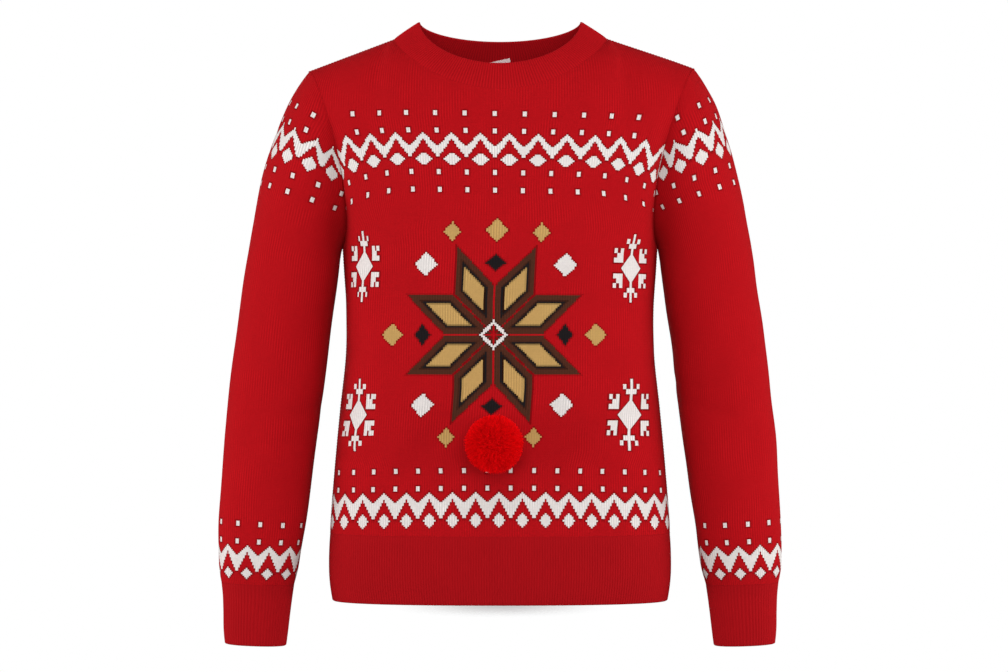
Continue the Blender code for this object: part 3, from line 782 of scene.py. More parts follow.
def band_group():
    """A patterned band: how far a place lies outside it."""
    inputs = dict.fromkeys(("U", "V") + BAND_SIZES + tuple(DOT), 1.0)
    tree, given, leave = new_group("patterned_band", "ShaderNodeTree", inputs, ("Distance",))
    turn = (given["U"] - given["Phase"]) / given["Repeat"]
    share = abs((turn + 0.5).fraction() - 0.5) * 2
    from_peak = share * given["Repeat"] * 0.5
    from_valley = given["Repeat"] * 0.5 - from_peak
    down = given["Level"] - given["V"]
    upper = share * given["Valley"] - down
    lower = down - given["Apex"] - share * (given["Tip"] - given["Apex"])
    found = upper.higher(lower) * STRAIGHT["zigzag"]
    wide, high = given["Diamond Wide"], given["Diamond High"]
    diamond = abs(from_peak) / wide + abs(down - given["Diamond"]) / high - 1.0
    found = found.lower(diamond * wide.lower(high) * STRAIGHT["diamond"])
    for row in DOT_ROWS:
        away = abs(given[row]).under(0.1) * FAR
        if row in DOT_ROWS[:2]:
            away = away + (given["U"].under(given["From"]) + given["To"].under(given["U"])) * FAR
        dot = box_distance(from_valley, down - given[row], given["Dot Wide"], given["Dot High"])
        found = found.lower(dot + away)
    fill(tree, leave, {"Distance": found})
    return tree


# A snowflake: a diamond, a stem with a bar and two leaves at each end, and a stepped corner piece in
# each quarter. Each of its boxes lies at x, y from the middle, and again in the other quarters.
SNOWFLAKE_DIAMOND = (12.4, 16.4)
SNOWFLAKE_STEM = (1.35, 36.8)
SNOWFLAKE_BOXES = (
    # x, y, half_x, half_y
    (2.6, 23.6, 2.8, 2.5),
    (6.6, 28.6, 1.3, 2.5),
    (16.4, 8.3, 5.4, 2.6),
    (14.4, 13.4, 3.4, 2.6),
    (13.0, 18.3, 2.0, 2.6),
    (19.6, 18.3, 2.0, 2.6),
)


def snowflake_group():
    """A snowflake: how far a place lies outside it. Only its diamond and stem have straight sides."""
    inputs = {"X": 0.0, "Y": 0.0, "Fine X": 0.0, "Fine Y": 0.0}
    tree, given, leave = new_group("snowflake", "ShaderNodeTree", inputs, ("Distance",))
    x, y = abs(given["X"]), abs(given["Y"])
    fine = given["Fine X"], given["Fine Y"]
    found = diamond_distance(*fine, *SNOWFLAKE_DIAMOND).lower(box_distance(*fine, *SNOWFLAKE_STEM))
    for at_x, at_y, half_x, half_y in SNOWFLAKE_BOXES:
        found = found.lower(box_distance(x - at_x, y - at_y, half_x, half_y))
    fill(tree, leave, {"Distance": found})
    return tree


# The star: eight slanted petals round the middle, each with a core, and small diamonds about it.
STAR = {"u": -3.0, "v": -318.75, "radius": 92.0, "petal": 0.45, "notch": 0.55, "slit": 1.6, "core": 8.5}
STAR_DIAMONDS = {
    # their middle as shares of the radius, half_x, half_y
    "over a tip": (1.19, 0.0, 12.0, 12.0),
    "beside a tip": (0.5, 1.17, 9.0, 10.0),
    "corner": (0.80, 0.80, 12.5, 12.5),
    "in a petal": (0.82, 0.0, 8.5, 11.0),
    "middle": (0.0, 0.0, 17.0, 17.0),
}
# Lines round its middle and its cores: how far inside their edge, and half their width.
STAR_LINES = {"middle": (2.8, 1.6), "core": (-1.2, 0.9)}
STAR_YARNS = ("Brown", "Tan", "White", "Black")


def star_diamond(name, x, y):
    share_x, share_y, half_x, half_y = STAR_DIAMONDS[name]
    radius = STAR["radius"]
    return diamond_distance(x - radius * share_x, y - radius * share_y, half_x, half_y)


def outline(distance, inside, half_width):
    """A line that far inside the edge of a motif."""
    return abs(distance + inside) - half_width


def star_group():
    """An eight-pointed star of slanted petals: how far a place lies outside each of its yarns."""
    tree, given, leave = new_group("eight_point_star", "ShaderNodeTree", {"X": 0.0, "Y": 0.0}, STAR_YARNS)
    x, y = abs(given["X"]), abs(given["Y"])
    along, beside = x.higher(y), x.lower(y)
    petal = (STAR["slit"] - beside).higher(beside - STAR["petal"] * STAR["radius"])
    petal = petal.higher((beside + STAR["slit"] - along) * math.sqrt(0.5))
    petal = petal.higher((along - beside - STAR["notch"] * STAR["radius"]) * math.sqrt(0.5))
    core = petal + STAR["core"]
    tan = core.lower(star_diamond("over a tip", along, beside)).lower(star_diamond("beside a tip", x, y))
    middle = outline(star_diamond("middle", along, beside), *STAR_LINES["middle"])
    white = star_diamond("corner", x, y).lower(middle)
    black = star_diamond("in a petal", along, beside).lower(outline(core, *STAR_LINES["core"]))
    fill(tree, leave, dict(zip(STAR_YARNS, (petal, tan, white, black))))
    return tree


def yarn_colour(tree, colour, found, yarn, lined):
    """The colour with a motif knitted in: its yarn where found is under 0, and a dark line of painted shade
    round it.
    """
    shown = 1.0 - lined
    # Painted shade: a dark line round the motif's yarn.
    rim_shade = found.between(MOTIF_RIM_SHADE["outer"], MOTIF_RIM_SHADE["inner"]) * shown
    colour = scaled(tree, colour, 1.0 - MOTIF_RIM_SHADE["dark"] * rim_shade)
    return mixed(tree, "MIX", found.under(0.0) * shown, colour, yarn)


def new_material(name, constants):
    """A material, its nodes, and its Principled shader with those constants."""
    made = bpy.data.materials.new(name)
    made.use_nodes = True
    tree = made.node_tree
    shader = tree.nodes["Principled BSDF"]
    fill(tree, shader, constants)
    return made, tree, shader


def fuzz_group():
    """Loose fibre over the cloth: a soft uneven height, a mottled shade near 1, and where wales show."""
    outputs = ("Height", "Shade", "Patch")
    tree, given, leave = new_group("fuzz", "ShaderNodeTree", {"Mottle": 0.06}, outputs)
    place = add(tree, "ShaderNodeTexCoord").outputs["Object"]
    inputs = {"Vector": place, "Scale": FUZZ["fine"], "Detail": 3.0}
    fine = Number(tree, add(tree, "ShaderNodeTexNoise", inputs).outputs["Fac"])
    inputs = {"Vector": place, "Scale": FUZZ["broad"], "Detail": 4.0, "Roughness": 0.6}
    broad = Number(tree, add(tree, "ShaderNodeTexNoise", inputs).outputs["Fac"])
    uneven = broad - 0.5 + (fine - 0.5) * 0.6
    shade = 1.0 + uneven * 2.0 * given["Mottle"]
    fill(tree, leave, {"Height": fine, "Shade": shade, "Patch": broad.between(0.40, 0.62)})
    return tree


def wales_of(tree):
    """A place's number along its course and up its wale, in millimetres."""
    return split(tree, add(tree, "ShaderNodeUVMap", uv_map="wales").outputs["UV"])[:2]


def marked(tree, name):
    """A number that the mesh carries under that name."""
    return Number(tree, add(tree, "ShaderNodeAttribute", attribute_name=name).outputs["Fac"])


def finish_cloth(tree, shader, colour, height, kind, fuzz):
    """Links a cloth's colour and relief, under its fuzz."""
    inputs = {"Height": height + fuzz["Height"] * FUZZ["lift"], "Strength": RELIEF[kind]}
    bump = add(tree, "ShaderNodeBump", inputs | {"Distance": RELIEF["depth"] * MM})
    made = {"Base Color": scaled(tree, colour, fuzz["Shade"]), "Normal": bump.outputs["Normal"]}
    fill(tree, shader, made | {"Roughness": FUZZ["rough"] + FUZZ["rougher"] * fuzz["Height"]})


def knit_material(name, groups, motifs):
    """Plain knit with motifs. motifs gives, from a tree and a stitch's place, each motif and its yarn."""
    made, tree, shader = new_material(name, KNITTED)
    u, v = wales_of(tree)
    knit = use(tree, groups["knit"], {"U": u, "V": v})
    fuzz = use(tree, groups["fuzz"])
    lined = marked(tree, "lined")
    colour = RED
    for found, yarn in motifs(tree, groups, knit["Cell U"], knit["Cell V"]):
        colour = yarn_colour(tree, colour, found, yarn, lined)
    # Painted shade and light: lines along the wales, in patches.
    painted_wale_line = (u * (2 * math.pi / PAINTED_WALE_LINES["apart"])).sine() * fuzz["Patch"]
    shade = knit["Shade"] * (1 - STITCH["uneven"] / 2 + STITCH["uneven"] * knit["Lot"])
    shade = shade * (1.0 + PAINTED_WALE_LINES["share"] * painted_wale_line)
    finish_cloth(tree, shader, scaled(tree, colour, shade), knit["Height"], "knit", fuzz)
    return made


def rib_material(name, groups, red, dark):
    """Ribs, with painted shade between them by that share, and a fine course of stitches on each."""
    made, tree, shader = new_material(name, KNITTED)
    u, v = wales_of(tree)
    rise = 0.5 - 0.5 * (u * (2 * math.pi)).cosine()
    row = abs((v / COURSE + abs((u * 2.0).fraction() - 0.5) * SLANT).fraction() - 0.5) * 2
    # Painted shade: darker between the ribs, and a little between the fine courses.
    shade = (1.0 - dark + dark * rise) * (0.97 + 0.03 * row)
    height = rise * (0.6 + 0.4 * row)
    finish_cloth(tree, shader, scaled(tree, red, shade), height, "rib", use(tree, groups["fuzz"]))
    return made


def plain_material(name, groups, colour, mottle, mark=None):
    """Yarn or tape of one colour. mark names a number that varies it from tuft to tuft."""
    made, tree, shader = new_material(name, YARN)
    fuzz = use(tree, groups["fuzz"], {"Mottle": mottle})
    if mark:
        colour = scaled(tree, colour, 0.86 + 0.28 * marked(tree, mark))
    finish_cloth(tree, shader, colour, fuzz["Height"], "plain", fuzz)
    return made


# ---------------------------------------------------------------- motifs of each piece

BANDS = {
    # name: the values of BAND_SIZES
    "chest": (30.0, 9.0, -107.0, 15.0, 6.2, 27.2, 27.4, 9.3, 6.6, -20.7, -3.2, 41.8, 60.3, -165.0, 160.0),
    "hem": (26.0, 7.0, -483.8, 12.2, 7.4, 30.2, 30.0, 7.6, 7.3, -22.1, -3.1, 0.0, 0.0, -FAR, FAR),
    "cap": (26.0, -47.0, -111.2, 12.6, 7.0, 27.0, 27.8, 7.8, 7.5, -20.5, -3.1, 43.8, 61.9, -FAR, FAR),
    "cuff": (26.0, -31.0, -544.2, 11.2, 6.6, 28.4, 29.9, 8.0, 6.4, -22.7, -4.4, 0.0, 0.0, -FAR, FAR),
}
BANDS = {name: dict(zip(BAND_SIZES, sizes)) for name, sizes in BANDS.items()}
# The upper dots of the caps end before the armholes.
BANDS["left_cap"] = BANDS["cap"] | {"From": -100.0, "To": 100.0}
BANDS["right_cap"] = BANDS["cap"] | {"From": -80.0, "To": 100.0}


def on_stitch(place, pitch):
    """The middle of the stitch that a place lies in."""
    return (math.floor(place / pitch) + 0.5) * pitch


def on_rows(band):
    """A band whose diamonds and dots lie on the middles of rows, so that each is whole."""
    rows = {name: band[name] for name in ("Diamond",) + DOT_ROWS if band[name]}
    level = band["Level"]
    return band | DOT | {name: level - on_stitch(level - down, COURSE) for name, down in rows.items()}


SNOWFLAKES = {"u": 151.0, "above": on_stitch(-247.4, COURSE), "below": on_stitch(-401.6, COURSE)}
# The line midway between them, and the chart's width as a share of each one's own.
SNOWFLAKES |= {"middle": -2.0, "left above": 0.94, "right above": 1.0}
SNOWFLAKES |= {"left below": 0.78, "right below": 0.98}


def banded(tree, groups, u, v, bands):
    """Every band of the piece as one distance."""
    found = None
    for name in bands:
        distance = use(tree, groups["band"], {"U": u, "V": v} | on_rows(BANDS[name]))["Distance"]
        found = distance if found is None else found.lower(distance)
    return found


def in_snowflake(u, v):
    """A place as x, y from the middle of the snowflake next to it."""
    middle = (SNOWFLAKES["above"] + SNOWFLAKES["below"]) / 2
    apart = (SNOWFLAKES["above"] - SNOWFLAKES["below"]) / 2
    right, below = u.under(SNOWFLAKES["middle"]), v.under(middle)
    above_share = SNOWFLAKES["left above"] * (1.0 - right) + SNOWFLAKES["right above"] * right
    below_share = SNOWFLAKES["left below"] * (1.0 - right) + SNOWFLAKES["right below"] * right
    share = above_share * (1.0 - below) + below_share * below
    return (abs(u - SNOWFLAKES["middle"]) - SNOWFLAKES["u"]) * share, abs(v - middle) - apart


def front_motifs(tree, groups, u, v):
    white = banded(tree, groups, u, v, ("chest", "hem"))
    x, y = in_snowflake(u, v)
    fine_x, fine_y = in_snowflake(*wales_of(tree))
    flake = use(tree, groups["snowflake"], {"X": x, "Y": y, "Fine X": fine_x, "Fine Y": fine_y})
    star = use(tree, groups["star"], {"X": u - STAR["u"], "Y": v - STAR["v"]})
    white = white.lower(flake["Distance"]).lower(star["White"])
    return (star["Brown"], BROWN), (star["Tan"], TAN), (star["Black"], BLACK), (white, WHITE)


def plain_bands(*names):
    """The motifs of a piece that has nothing but these bands."""
    return lambda tree, groups, u, v: [(banded(tree, groups, u, v, names), WHITE)]


# ---------------------------------------------------------------- places in the knit

# The knit of the body is drawn wider over the chest than below the armpits, and its courses lie a
# little lower on the left (tilt) and, by the square of the way from the middle, at the sides (sag).
CHEST_STRETCH = ((HEM_SEAM_Z, 1.057), (-460.0, 1.057), (-442.0, 1.0), (-232.0, 1.0), (-208.0, 0.978))
CHEST_STRETCH += ((-167.0, 1.035), (-134.0, 1.0), (-107.0, 0.98), (-86.0, 0.945), (20.0, 0.90))
TILT = ((HEM_SEAM_Z, 0.0), (-300.0, 0.0), (-167.0, 0.018), (20.0, 0.018))
SIDE_SAG = ((HEM_SEAM_Z, 0.00014), (-440.0, 0.00014), (-360.0, 0.0), (20.0, 0.0))
# Its wales lean: this far along, they lie further to the right.
WALE_SHIFT = ((HEM_SEAM_Z, 8.0), (-425.0, 8.0), (-375.0, 4.2), (-285.0, 3.4), (-235.0, 0.8), (-190.0, -0.8))
WALE_SHIFT += ((20.0, -0.8),)
# Near an armhole the knit is drawn down and together.
ARMHOLE_SAG = ((HEM_SEAM_Z, 0.0), (-208.0, 0.0), (-180.0, 0.0022), (-150.0, 0.0019), (-134.0, 0.0012))
ARMHOLE_SAG += ((-107.0, 0.0005), (-86.0, 0.0002), (20.0, 0.0))
SAG_FROM = 90.0
SAG_IN = 1.2
# How far the sleeve's courses lean, outer side up, in degrees, and how far in its middle line leans
# over the armpit. Towards the cuff, from this level down, its stitches are drawn together.
COURSE_LEAN = SLEEVE_LEAN + ((-175.0, 19.0), (-157.0, 20.0), (-139.0, 21.5), (-116.0, 26.0), (-93.0, 30.0))
COURSE_LEAN += ((80.0, 32.0),)
LINE_LEAN = 0.24
CAP_STRETCH = ((CUFF_Z, 1.057), (-500.0, 1.057), (-450.0, 1.0), (-173.0, 1.0), (-154.0, 0.96))
CAP_STRETCH += ((-136.0, 0.90), (-107.0, 0.80), (-89.0, 0.71), (80.0, 0.4))
CAP_SPREAD = {"from": -160.0, "share": 0.20, "reach": 25.0}
GATHERED_FROM = -520.0
COURSE_STEP = 4.0
# How often a point's course is worked out again from the last answer.
COURSE_ROUNDS = 12
# The left sleeve's knit is turned a little on the arm. On its cap it lies lower, and is drawn together
# beyond this place along the course.
LEFT_TURN = {"round": -9.4, "lower": -1.9, "beyond": -65.0, "drawn": 0.28}
LEFT_TURN |= {"from": -160.0, "lean": -0.065}
LEFT_CAP = ((-520.0, 0.0), (-240.0, 1.0))
# On each cap, the knit in front of this place along the course is drawn together towards the armhole.
CAP_GATHER = ((-152.0, 0.0), (-136.0, 0.25), (-113.0, 0.9), (80.0, 0.9))
CAP_GATHERED_FROM = {"sleeve_left": -97.0, "sleeve_right": -73.0}


def levelled(table, z):
    """A number of the table at the levels z, by straight lines."""
    return np.interp(z, *zip(*table))


def body_wales(grid):
    """Each point's place in a panel's knit: along the course from the middle, and up the wale."""
    along = run(np.hypot(*np.moveaxis(np.diff(grid, axis=1), -1, 0)[:2]), axis=1)
    u, z = along - along[:, [COLUMNS // 2]], grid[..., 2]
    sag = levelled(ARMHOLE_SAG, z) * np.maximum(np.abs(u) - SAG_FROM, 0) ** 2
    v = z + levelled(TILT, z) * u + levelled(SIDE_SAG, z) * u**2 + sag
    u = u * levelled(CHEST_STRETCH, z) + np.sign(u) * SAG_IN * sag + levelled(WALE_SHIFT, z)
    return np.stack([u, v], axis=-1)


def sleeve_wales(grid):
    """Each point's place in a sleeve's knit: round from the outer line, and up. One more column closes it."""
    grid = np.concatenate([grid, grid[:, :1]], axis=1)
    levels = np.arange(CUFF_Z, COURSE_LEAN[-1][0], COURSE_STEP)
    lean = np.radians(smooth(levels, *zip(*COURSE_LEAN)))
    arm = np.minimum(levels, SLEEVE_TOP_Z)
    inner, outer = sleeve_size("inner", arm), sleeve_size("outer", arm)
    front, back = sleeve_size("front", arm), sleeve_size("back", arm)
    middle = (inner + outer) / 2 - LINE_LEAN * np.maximum(levels - SLEEVE_TOP_Z, 0)
    x, y, z = np.moveaxis(grid, -1, 0)
    v = z
    for _ in range(COURSE_ROUNDS):
        v = z - (x - np.interp(v, levels, middle)) * np.tan(np.interp(v, levels, lean))
    inward = (np.interp(v, levels, middle) - x) / np.interp(v, levels, (outer - inner) / 2)
    forward = (np.interp(v, levels, (front + back) / 2) - y) / np.interp(v, levels, (back - front) / 2)
    turn = np.arctan2(forward, inward)
    nearest = np.linspace(0, 2 * math.pi, grid.shape[1])
    turn += 2 * math.pi * np.round((nearest - turn) / (2 * math.pi))
    round_arm = run(np.linalg.norm(np.diff(grid[: ARM_ROWS + 1], axis=1), axis=-1), axis=1)
    girth = np.interp(np.maximum(v, GATHERED_FROM), v[: ARM_ROWS + 1, 0], round_arm[:, -1])
    share = np.empty_like(v)
    for r in range(len(grid)):
        ring = min(r, ARM_ROWS)
        known = np.concatenate([turn[ring] + 2 * math.pi * k for k in (-1, 0, 1)])
        shares = np.concatenate([round_arm[ring] / round_arm[ring, -1] + k for k in (-1, 0, 1)])
        share[r] = np.interp(turn[r], known, shares)
    u = (share - 0.5) * girth * levelled(CAP_STRETCH, v)
    spread = CAP_SPREAD["share"] * np.maximum(v - CAP_SPREAD["from"], 0)
    return np.stack([u + spread * np.tanh(u / CAP_SPREAD["reach"]), v], axis=-1)


def left_wales(wales):
    """The left sleeve's places in its knit, from those of a sleeve whose knit isn't turned."""
    u, v = np.moveaxis(wales, -1, 0)
    cap = levelled(LEFT_CAP, v)
    drawn = cap * LEFT_TURN["drawn"] * np.minimum(u - LEFT_TURN["beyond"], 0)
    lean = LEFT_TURN["lean"] * np.maximum(v - LEFT_TURN["from"], 0)
    return np.stack([u + LEFT_TURN["round"] + drawn + lean, v + cap * LEFT_TURN["lower"]], axis=-1)


def gathered(wales, start):
    """A sleeve's places in its knit, with the cap's front drawn together beyond start."""
    u, v = np.moveaxis(wales, -1, 0)
    return np.stack([u + levelled(CAP_GATHER, v) * np.minimum(u - start, 0), v], axis=-1)


def rib_wales(grid, faces_a_rib, closed):
    """Each point's place in a rib: ribs along the course, and millimetres up from the free edge."""
    if closed:
        grid = np.concatenate([grid, grid[:, :1]], axis=1)
    up = run(np.linalg.norm(np.diff(grid, axis=0), axis=-1))
    ribs = np.broadcast_to(np.arange(grid.shape[1]) / faces_a_rib, up.shape)
    return np.stack([ribs, up], axis=-1)


# ---------------------------------------------------------------- pieces of cloth


def share_seams(outer, normals, sleeve_normals):
    """Gives both sides of each seam one direction, so that their walls meet along one line."""
    sides = [(SIDE, column) for column in (0, COLUMNS)]
    for where in sides + [(-1, shoulder) for shoulder in SHOULDERS]:
        both = unit(normals[FRONT][where] + normals[BACK][where])
        normals[FRONT][where] = both
        normals[BACK][where] = both
    armhole = around_armhole(outer)
    out = unit((armhole - armhole.mean(axis=0)) * np.array([0, 1, 1]))
    shared = unit(around_armhole(normals) + sleeve_normals[-1] + ARMHOLE_OUT * out)
    sleeve_normals[-1] = shared
    rows = UPPER_ROWS + 1
    halves = {FRONT: shared[:rows], BACK: np.concatenate([shared[rows - 1 :], shared[:1]])[::-1]}
    for side, half in halves.items():
        normals[side][ARMHOLE, COLUMNS] = half
        normals[side][ARMHOLE, 0] = half * MIRROR


def make_panels(outer, normals, materials):
    """The front and the back. Gives the back's lining, which carries the label."""
    for side, name in ((FRONT, "front_panel"), (BACK, "back_panel")):
        cloth = outer[side].copy()
        lining = cloth - normals[side] * KNIT_WALL
        for column, inward in ((0, 1), (COLUMNS, -1)):
            set_back(cloth, lining, (SIDE, column), (0, side, 0))
            set_back(cloth, lining, (ARMHOLE, column), (inward, 0, 0))
        for shoulder in SHOULDERS:
            set_back(cloth, lining, (-1, shoulder), (0, side, 0))
        set_back(cloth, lining, (-1, NECK), (0, 0, -1))
        set_back(cloth, lining, (0, slice(None)), (0, 0, 1))
        dip = np.zeros(cloth.shape[:2] + (1,))
        dip[[0, -1]] = SEAM_DIP
        dip[:, [0, -1]] = SEAM_DIP
        cloth -= normals[side] * dip
        shell(name, cloth, lining, body_wales(outer[side]), False, materials[name])
    return lining


def make_sleeves(grid, normals, materials):
    """Both sleeves, without their cuffs."""
    axis = sleeve_axis(grid[0], grid[1])
    normals[0] = across_axis(normals[0], axis)
    wales = sleeve_wales(grid)
    for side, name in ((1, "sleeve_left"), (-1, "sleeve_right")):
        cloth = creased_sleeve(grid, normals, side)
        lining = cloth - normals * KNIT_WALL
        set_back(cloth, lining, -1, (1, 0, 0), closed=True)
        cloth[0] -= axis * SEAM_GAP / 2
        lining[0] -= axis * SEAM_GAP / 2
        cloth[[0, -1]] -= normals[[0, -1]] * SEAM_DIP
        mirror = np.array([side, 1, 1])
        places = gathered(left_wales(wales) if side == 1 else wales, CAP_GATHERED_FROM[name])
        shell(name, cloth * mirror, lining * mirror, places, True, materials[name])


def sleeve_axis(ring, next_ring):
    """The direction out of the plane of a ring, towards the cuff if next_ring lies above it."""
    count = len(ring)
    across, deep = ring[count // 2] - ring[0], ring[count // 4] - ring[3 * count // 4]
    axis = unit(np.cross(across, deep))
    return axis if (ring.mean(axis=0) - next_ring.mean(axis=0)) @ axis > 0 else -axis


def across_axis(normals, axis):
    return unit(normals - (normals @ axis)[:, None] * axis)


def divided(points, times):
    """A line of points with each step cut into that many."""
    count = len(points) - 1
    at = np.arange(count * times + 1) / times
    return np.stack([np.interp(at, np.arange(count + 1), points[:, k]) for k in range(3)], axis=1)


def rib_rows(start, end, length):
    """Where a rib's rows lie from start to end: close together at its free edge, which is at start."""
    close = [start + (end - start) * up / length for up, _ in LIP]
    return np.concatenate([close, np.linspace(start, end, RIB_ROWS + 1)[1:]])


def ribbed_shell(name, grid, normals, closed, material):
    """A wall with rounded ribs on its outer points, over a plain lining. Its first row is the free edge."""
    drawn = np.zeros((len(grid), 1, 1))
    drawn[: len(LIP), 0, 0] = [share for _, share in LIP]
    lining = (grid - normals * RIB_WALL * (1 - drawn / 2))[:, :: 2 * FACES_A_RIB]
    turn = 2 * math.pi * np.arange(grid.shape[1]) / FACES_A_RIB
    rise = RIB_RISE * (0.5 - 0.5 * np.cos(turn))[None, :, None] * (1 - drawn)
    for row, share in SEAM_FADE:
        rise[row] *= share
    rise[-1] -= SEAM_DIP
    ribs = grid + normals * (rise - drawn * RIB_WALL / 2)
    return shell(name, ribs, lining, rib_wales(grid, FACES_A_RIB, closed), closed, material), lining


def make_cuffs(material):
    levels = rib_rows(CUFF_Z, CUFF_SEAM_Z, CUFF_SEAM_Z - CUFF_Z)
    grid = np.stack([sleeve_ring(z, CUFF_RIBS * FACES_A_RIB) for z in levels])
    normals = grid_normals(grid, True, grid - grid.mean(axis=1, keepdims=True))
    axis = sleeve_axis(grid[-1], grid[-2])
    normals[-1] = across_axis(normals[-1], axis)
    grid[-1] -= axis * SEAM_GAP / 2
    for turn, name in ((np.ones(3), "cuff_left"), (MIRROR, "cuff_right")):
        ribbed_shell(name, grid * turn, normals * turn, True, material)


def make_hem(material):
    across = np.linspace(0, 1, HEM_RIBS * FACES_A_RIB + 1)
    levels = rib_rows(HEM_Z, HEM_SEAM_Z, HEM_SEAM_Z - HEM_Z)
    for side, name in ((FRONT, "hem_rib_front"), (BACK, "hem_rib_back")):
        grid = np.stack([half_section(z, side, across) for z in levels])
        normals = grid_normals(grid, False, np.array([0, side, 0]))
        normals[:, 0], normals[:, -1] = (-1, 0, 0), (1, 0, 0)
        normals[[0, -1], :, 2] = 0
        grid[-1, :, 2] -= SEAM_GAP / 2
        grid[:, [0, -1], 1] += side * SEAM_GAP / 2
        ribbed_shell(name, grid, unit(normals), False, material)


def round_neck(grids):
    """The neck seam's ring: from the left over the front to the right, and back behind."""
    return np.concatenate([grids[FRONT][-1, NECK][::-1], grids[BACK][-1, NECK][1:]])


def make_collar(outer, normals, material):
    """The collar, on the points of the neck seam. It turns the panels' walls there to meet its own."""
    half = NECK_TO - NECK_FROM
    base = round_neck(outer)
    top = saddle(NECK_TOP, np.linspace(0, 2 * math.pi, 2 * half + 1))
    out = unit(np.cross(np.roll(base[:-1], -1, axis=0) - np.roll(base[:-1], 1, axis=0), (top - base)[:-1]))
    out *= np.sign((out * (base[:-1] * [1, 1, 0] + [0, 0, NECK_SEAM["half_width"] / 2])).sum(axis=1))[:, None]
    out = np.concatenate([out, out[:1]])
    shared = unit(round_neck(normals) + out)
    normals[FRONT][-1, NECK] = shared[: half + 1][::-1]
    normals[BACK][-1, NECK] = shared[half:]
    rows, facing = [], []
    for t in rib_rows(1, 0, COLLAR_HEIGHT):
        rows.append(base * (1 - t) + top * t + out * COLLAR_ROLL * 4 * t * (1 - t))
        facing.append(out if t > 0 else shared)
    times = COLLAR_RIBS * FACES_A_RIB // (2 * half)
    grid = np.stack([divided(row, times)[:-1] for row in rows])
    facing = unit(np.stack([divided(row, times)[:-1] for row in facing]))
    set_back(grid, grid - facing * RIB_WALL, -1, (0, 0, 1), closed=True)
    return ribbed_shell("neck_rib", grid, facing, True, material)[1]


def front_y(x, z):
    """Depth of the front's outer face under a point seen from the front, below the armpits."""
    section = half_section(z, FRONT, np.linspace(0, 1, SECTION_STEPS + 1))
    return float(np.interp(x, section[:, 0], section[:, 1]))


def make_label(lining, collar_lining, material):
    """A blank tape that lies on the inside of the back, across the neck seam."""
    middle, back = COLUMNS // 2, collar_lining.shape[1] * 3 // 4
    behind = np.concatenate([lining[:-1, middle], collar_lining[::-1][1:, back]])
    turned = math.radians(LABEL["turned"])
    across = np.linspace(-1, 1, LABEL["columns"] + 1) * LABEL["half_width"]
    up = np.linspace(-1, 1, LABEL["rows"] + 1)[:, None] * LABEL["half_height"]
    x = LABEL["x"] + across * math.cos(turned) - up * math.sin(turned)
    z = LABEL["z"] + across * math.sin(turned) + up * math.cos(turned)
    y = np.interp(z, behind[:, 2], behind[:, 1]) - LABEL["lift"]
    behind = np.stack([x, y, z], axis=-1)
    face = behind - np.array([0, LABEL["wall"], 0])
    shell("neck_label", face, behind, rib_wales(face, 1, False), False, material)


# ---------------------------------------------------------------- pompom and sewing, by rule


def fibre_tree():
    """Strands of yarn that stand all round a core, and are shorter where they meet the cloth behind it."""
    inputs = {"Geometry": None, **FIBRES, "Material": None}
    tree, given, leave = new_group("pompom_fibres", "GeometryNodeTree", inputs, ("Geometry",))
    radius = given["Core"] * MM
    core = add(tree, "GeometryNodeMeshIcoSphere", {"Radius": radius, "Subdivisions": 4}).outputs["Mesh"]
    root = add(tree, "GeometryNodeInputPosition").outputs["Position"]
    _, back, up = split(tree, root)
    tilt = math.radians(POMPOM["tilt"])
    towards = (back * math.cos(tilt) + up * math.sin(tilt)) / MM
    inputs = {"Mesh": core, "Selection": towards.under(given["Bare"] * given["Core"])}
    inputs |= {"Density": given["Strands"] / (4 * math.pi * radius**2), "Seed": POMPOM["seed"]}
    spread = add(tree, "GeometryNodeDistributePointsOnFaces", inputs, distribute_method="RANDOM")
    inputs = {"Rotation": spread.outputs["Rotation"]}
    furthest = (-STRAND["leans"], -STRAND["leans"], -math.pi)
    inputs["Rotate By"] = random_value(tree, "FLOAT_VECTOR", SEEDS["lean"], furthest)
    turned = add(tree, "FunctionNodeRotateEuler", inputs, space="LOCAL")
    size = Number(tree, random_value(tree, "FLOAT", SEEDS["length"], STRAND["shortest"]))
    tuft = add(tree, "ShaderNodeTexNoise", {"Vector": root, "Scale": TUFTS["scale"], "Detail": 1.0})
    size = size * (TUFTS["short"] + TUFTS["more"] * Number(tree, tuft.outputs["Fac"]))
    longest = (given["Room"] - towards) / (given["Reach"] - given["Core"])
    inputs = {"Points": spread.outputs["Points"], "Instance": one_strand(tree, given)}
    inputs |= {"Rotation": turned.outputs["Rotation"], "Scale": size.lower(longest)}
    strands = add(tree, "GeometryNodeInstanceOnPoints", inputs).outputs["Instances"]
    lot = random_value(tree, "FLOAT", SEEDS["lot"], 0.0)
    joined = add(tree, "GeometryNodeJoinGeometry")
    for geometry, value, domain in ((strands, lot, "INSTANCE"), (core, 0.0, "POINT")):
        inputs = {"Geometry": geometry, "Name": "lot", "Value": value}
        kept = add(tree, "GeometryNodeStoreNamedAttribute", inputs, data_type="FLOAT", domain=domain)
        tree.links.new(kept.outputs["Geometry"], joined.inputs[0])
    finish_tree(tree, joined.outputs["Geometry"], given["Material"], leave)
    return tree


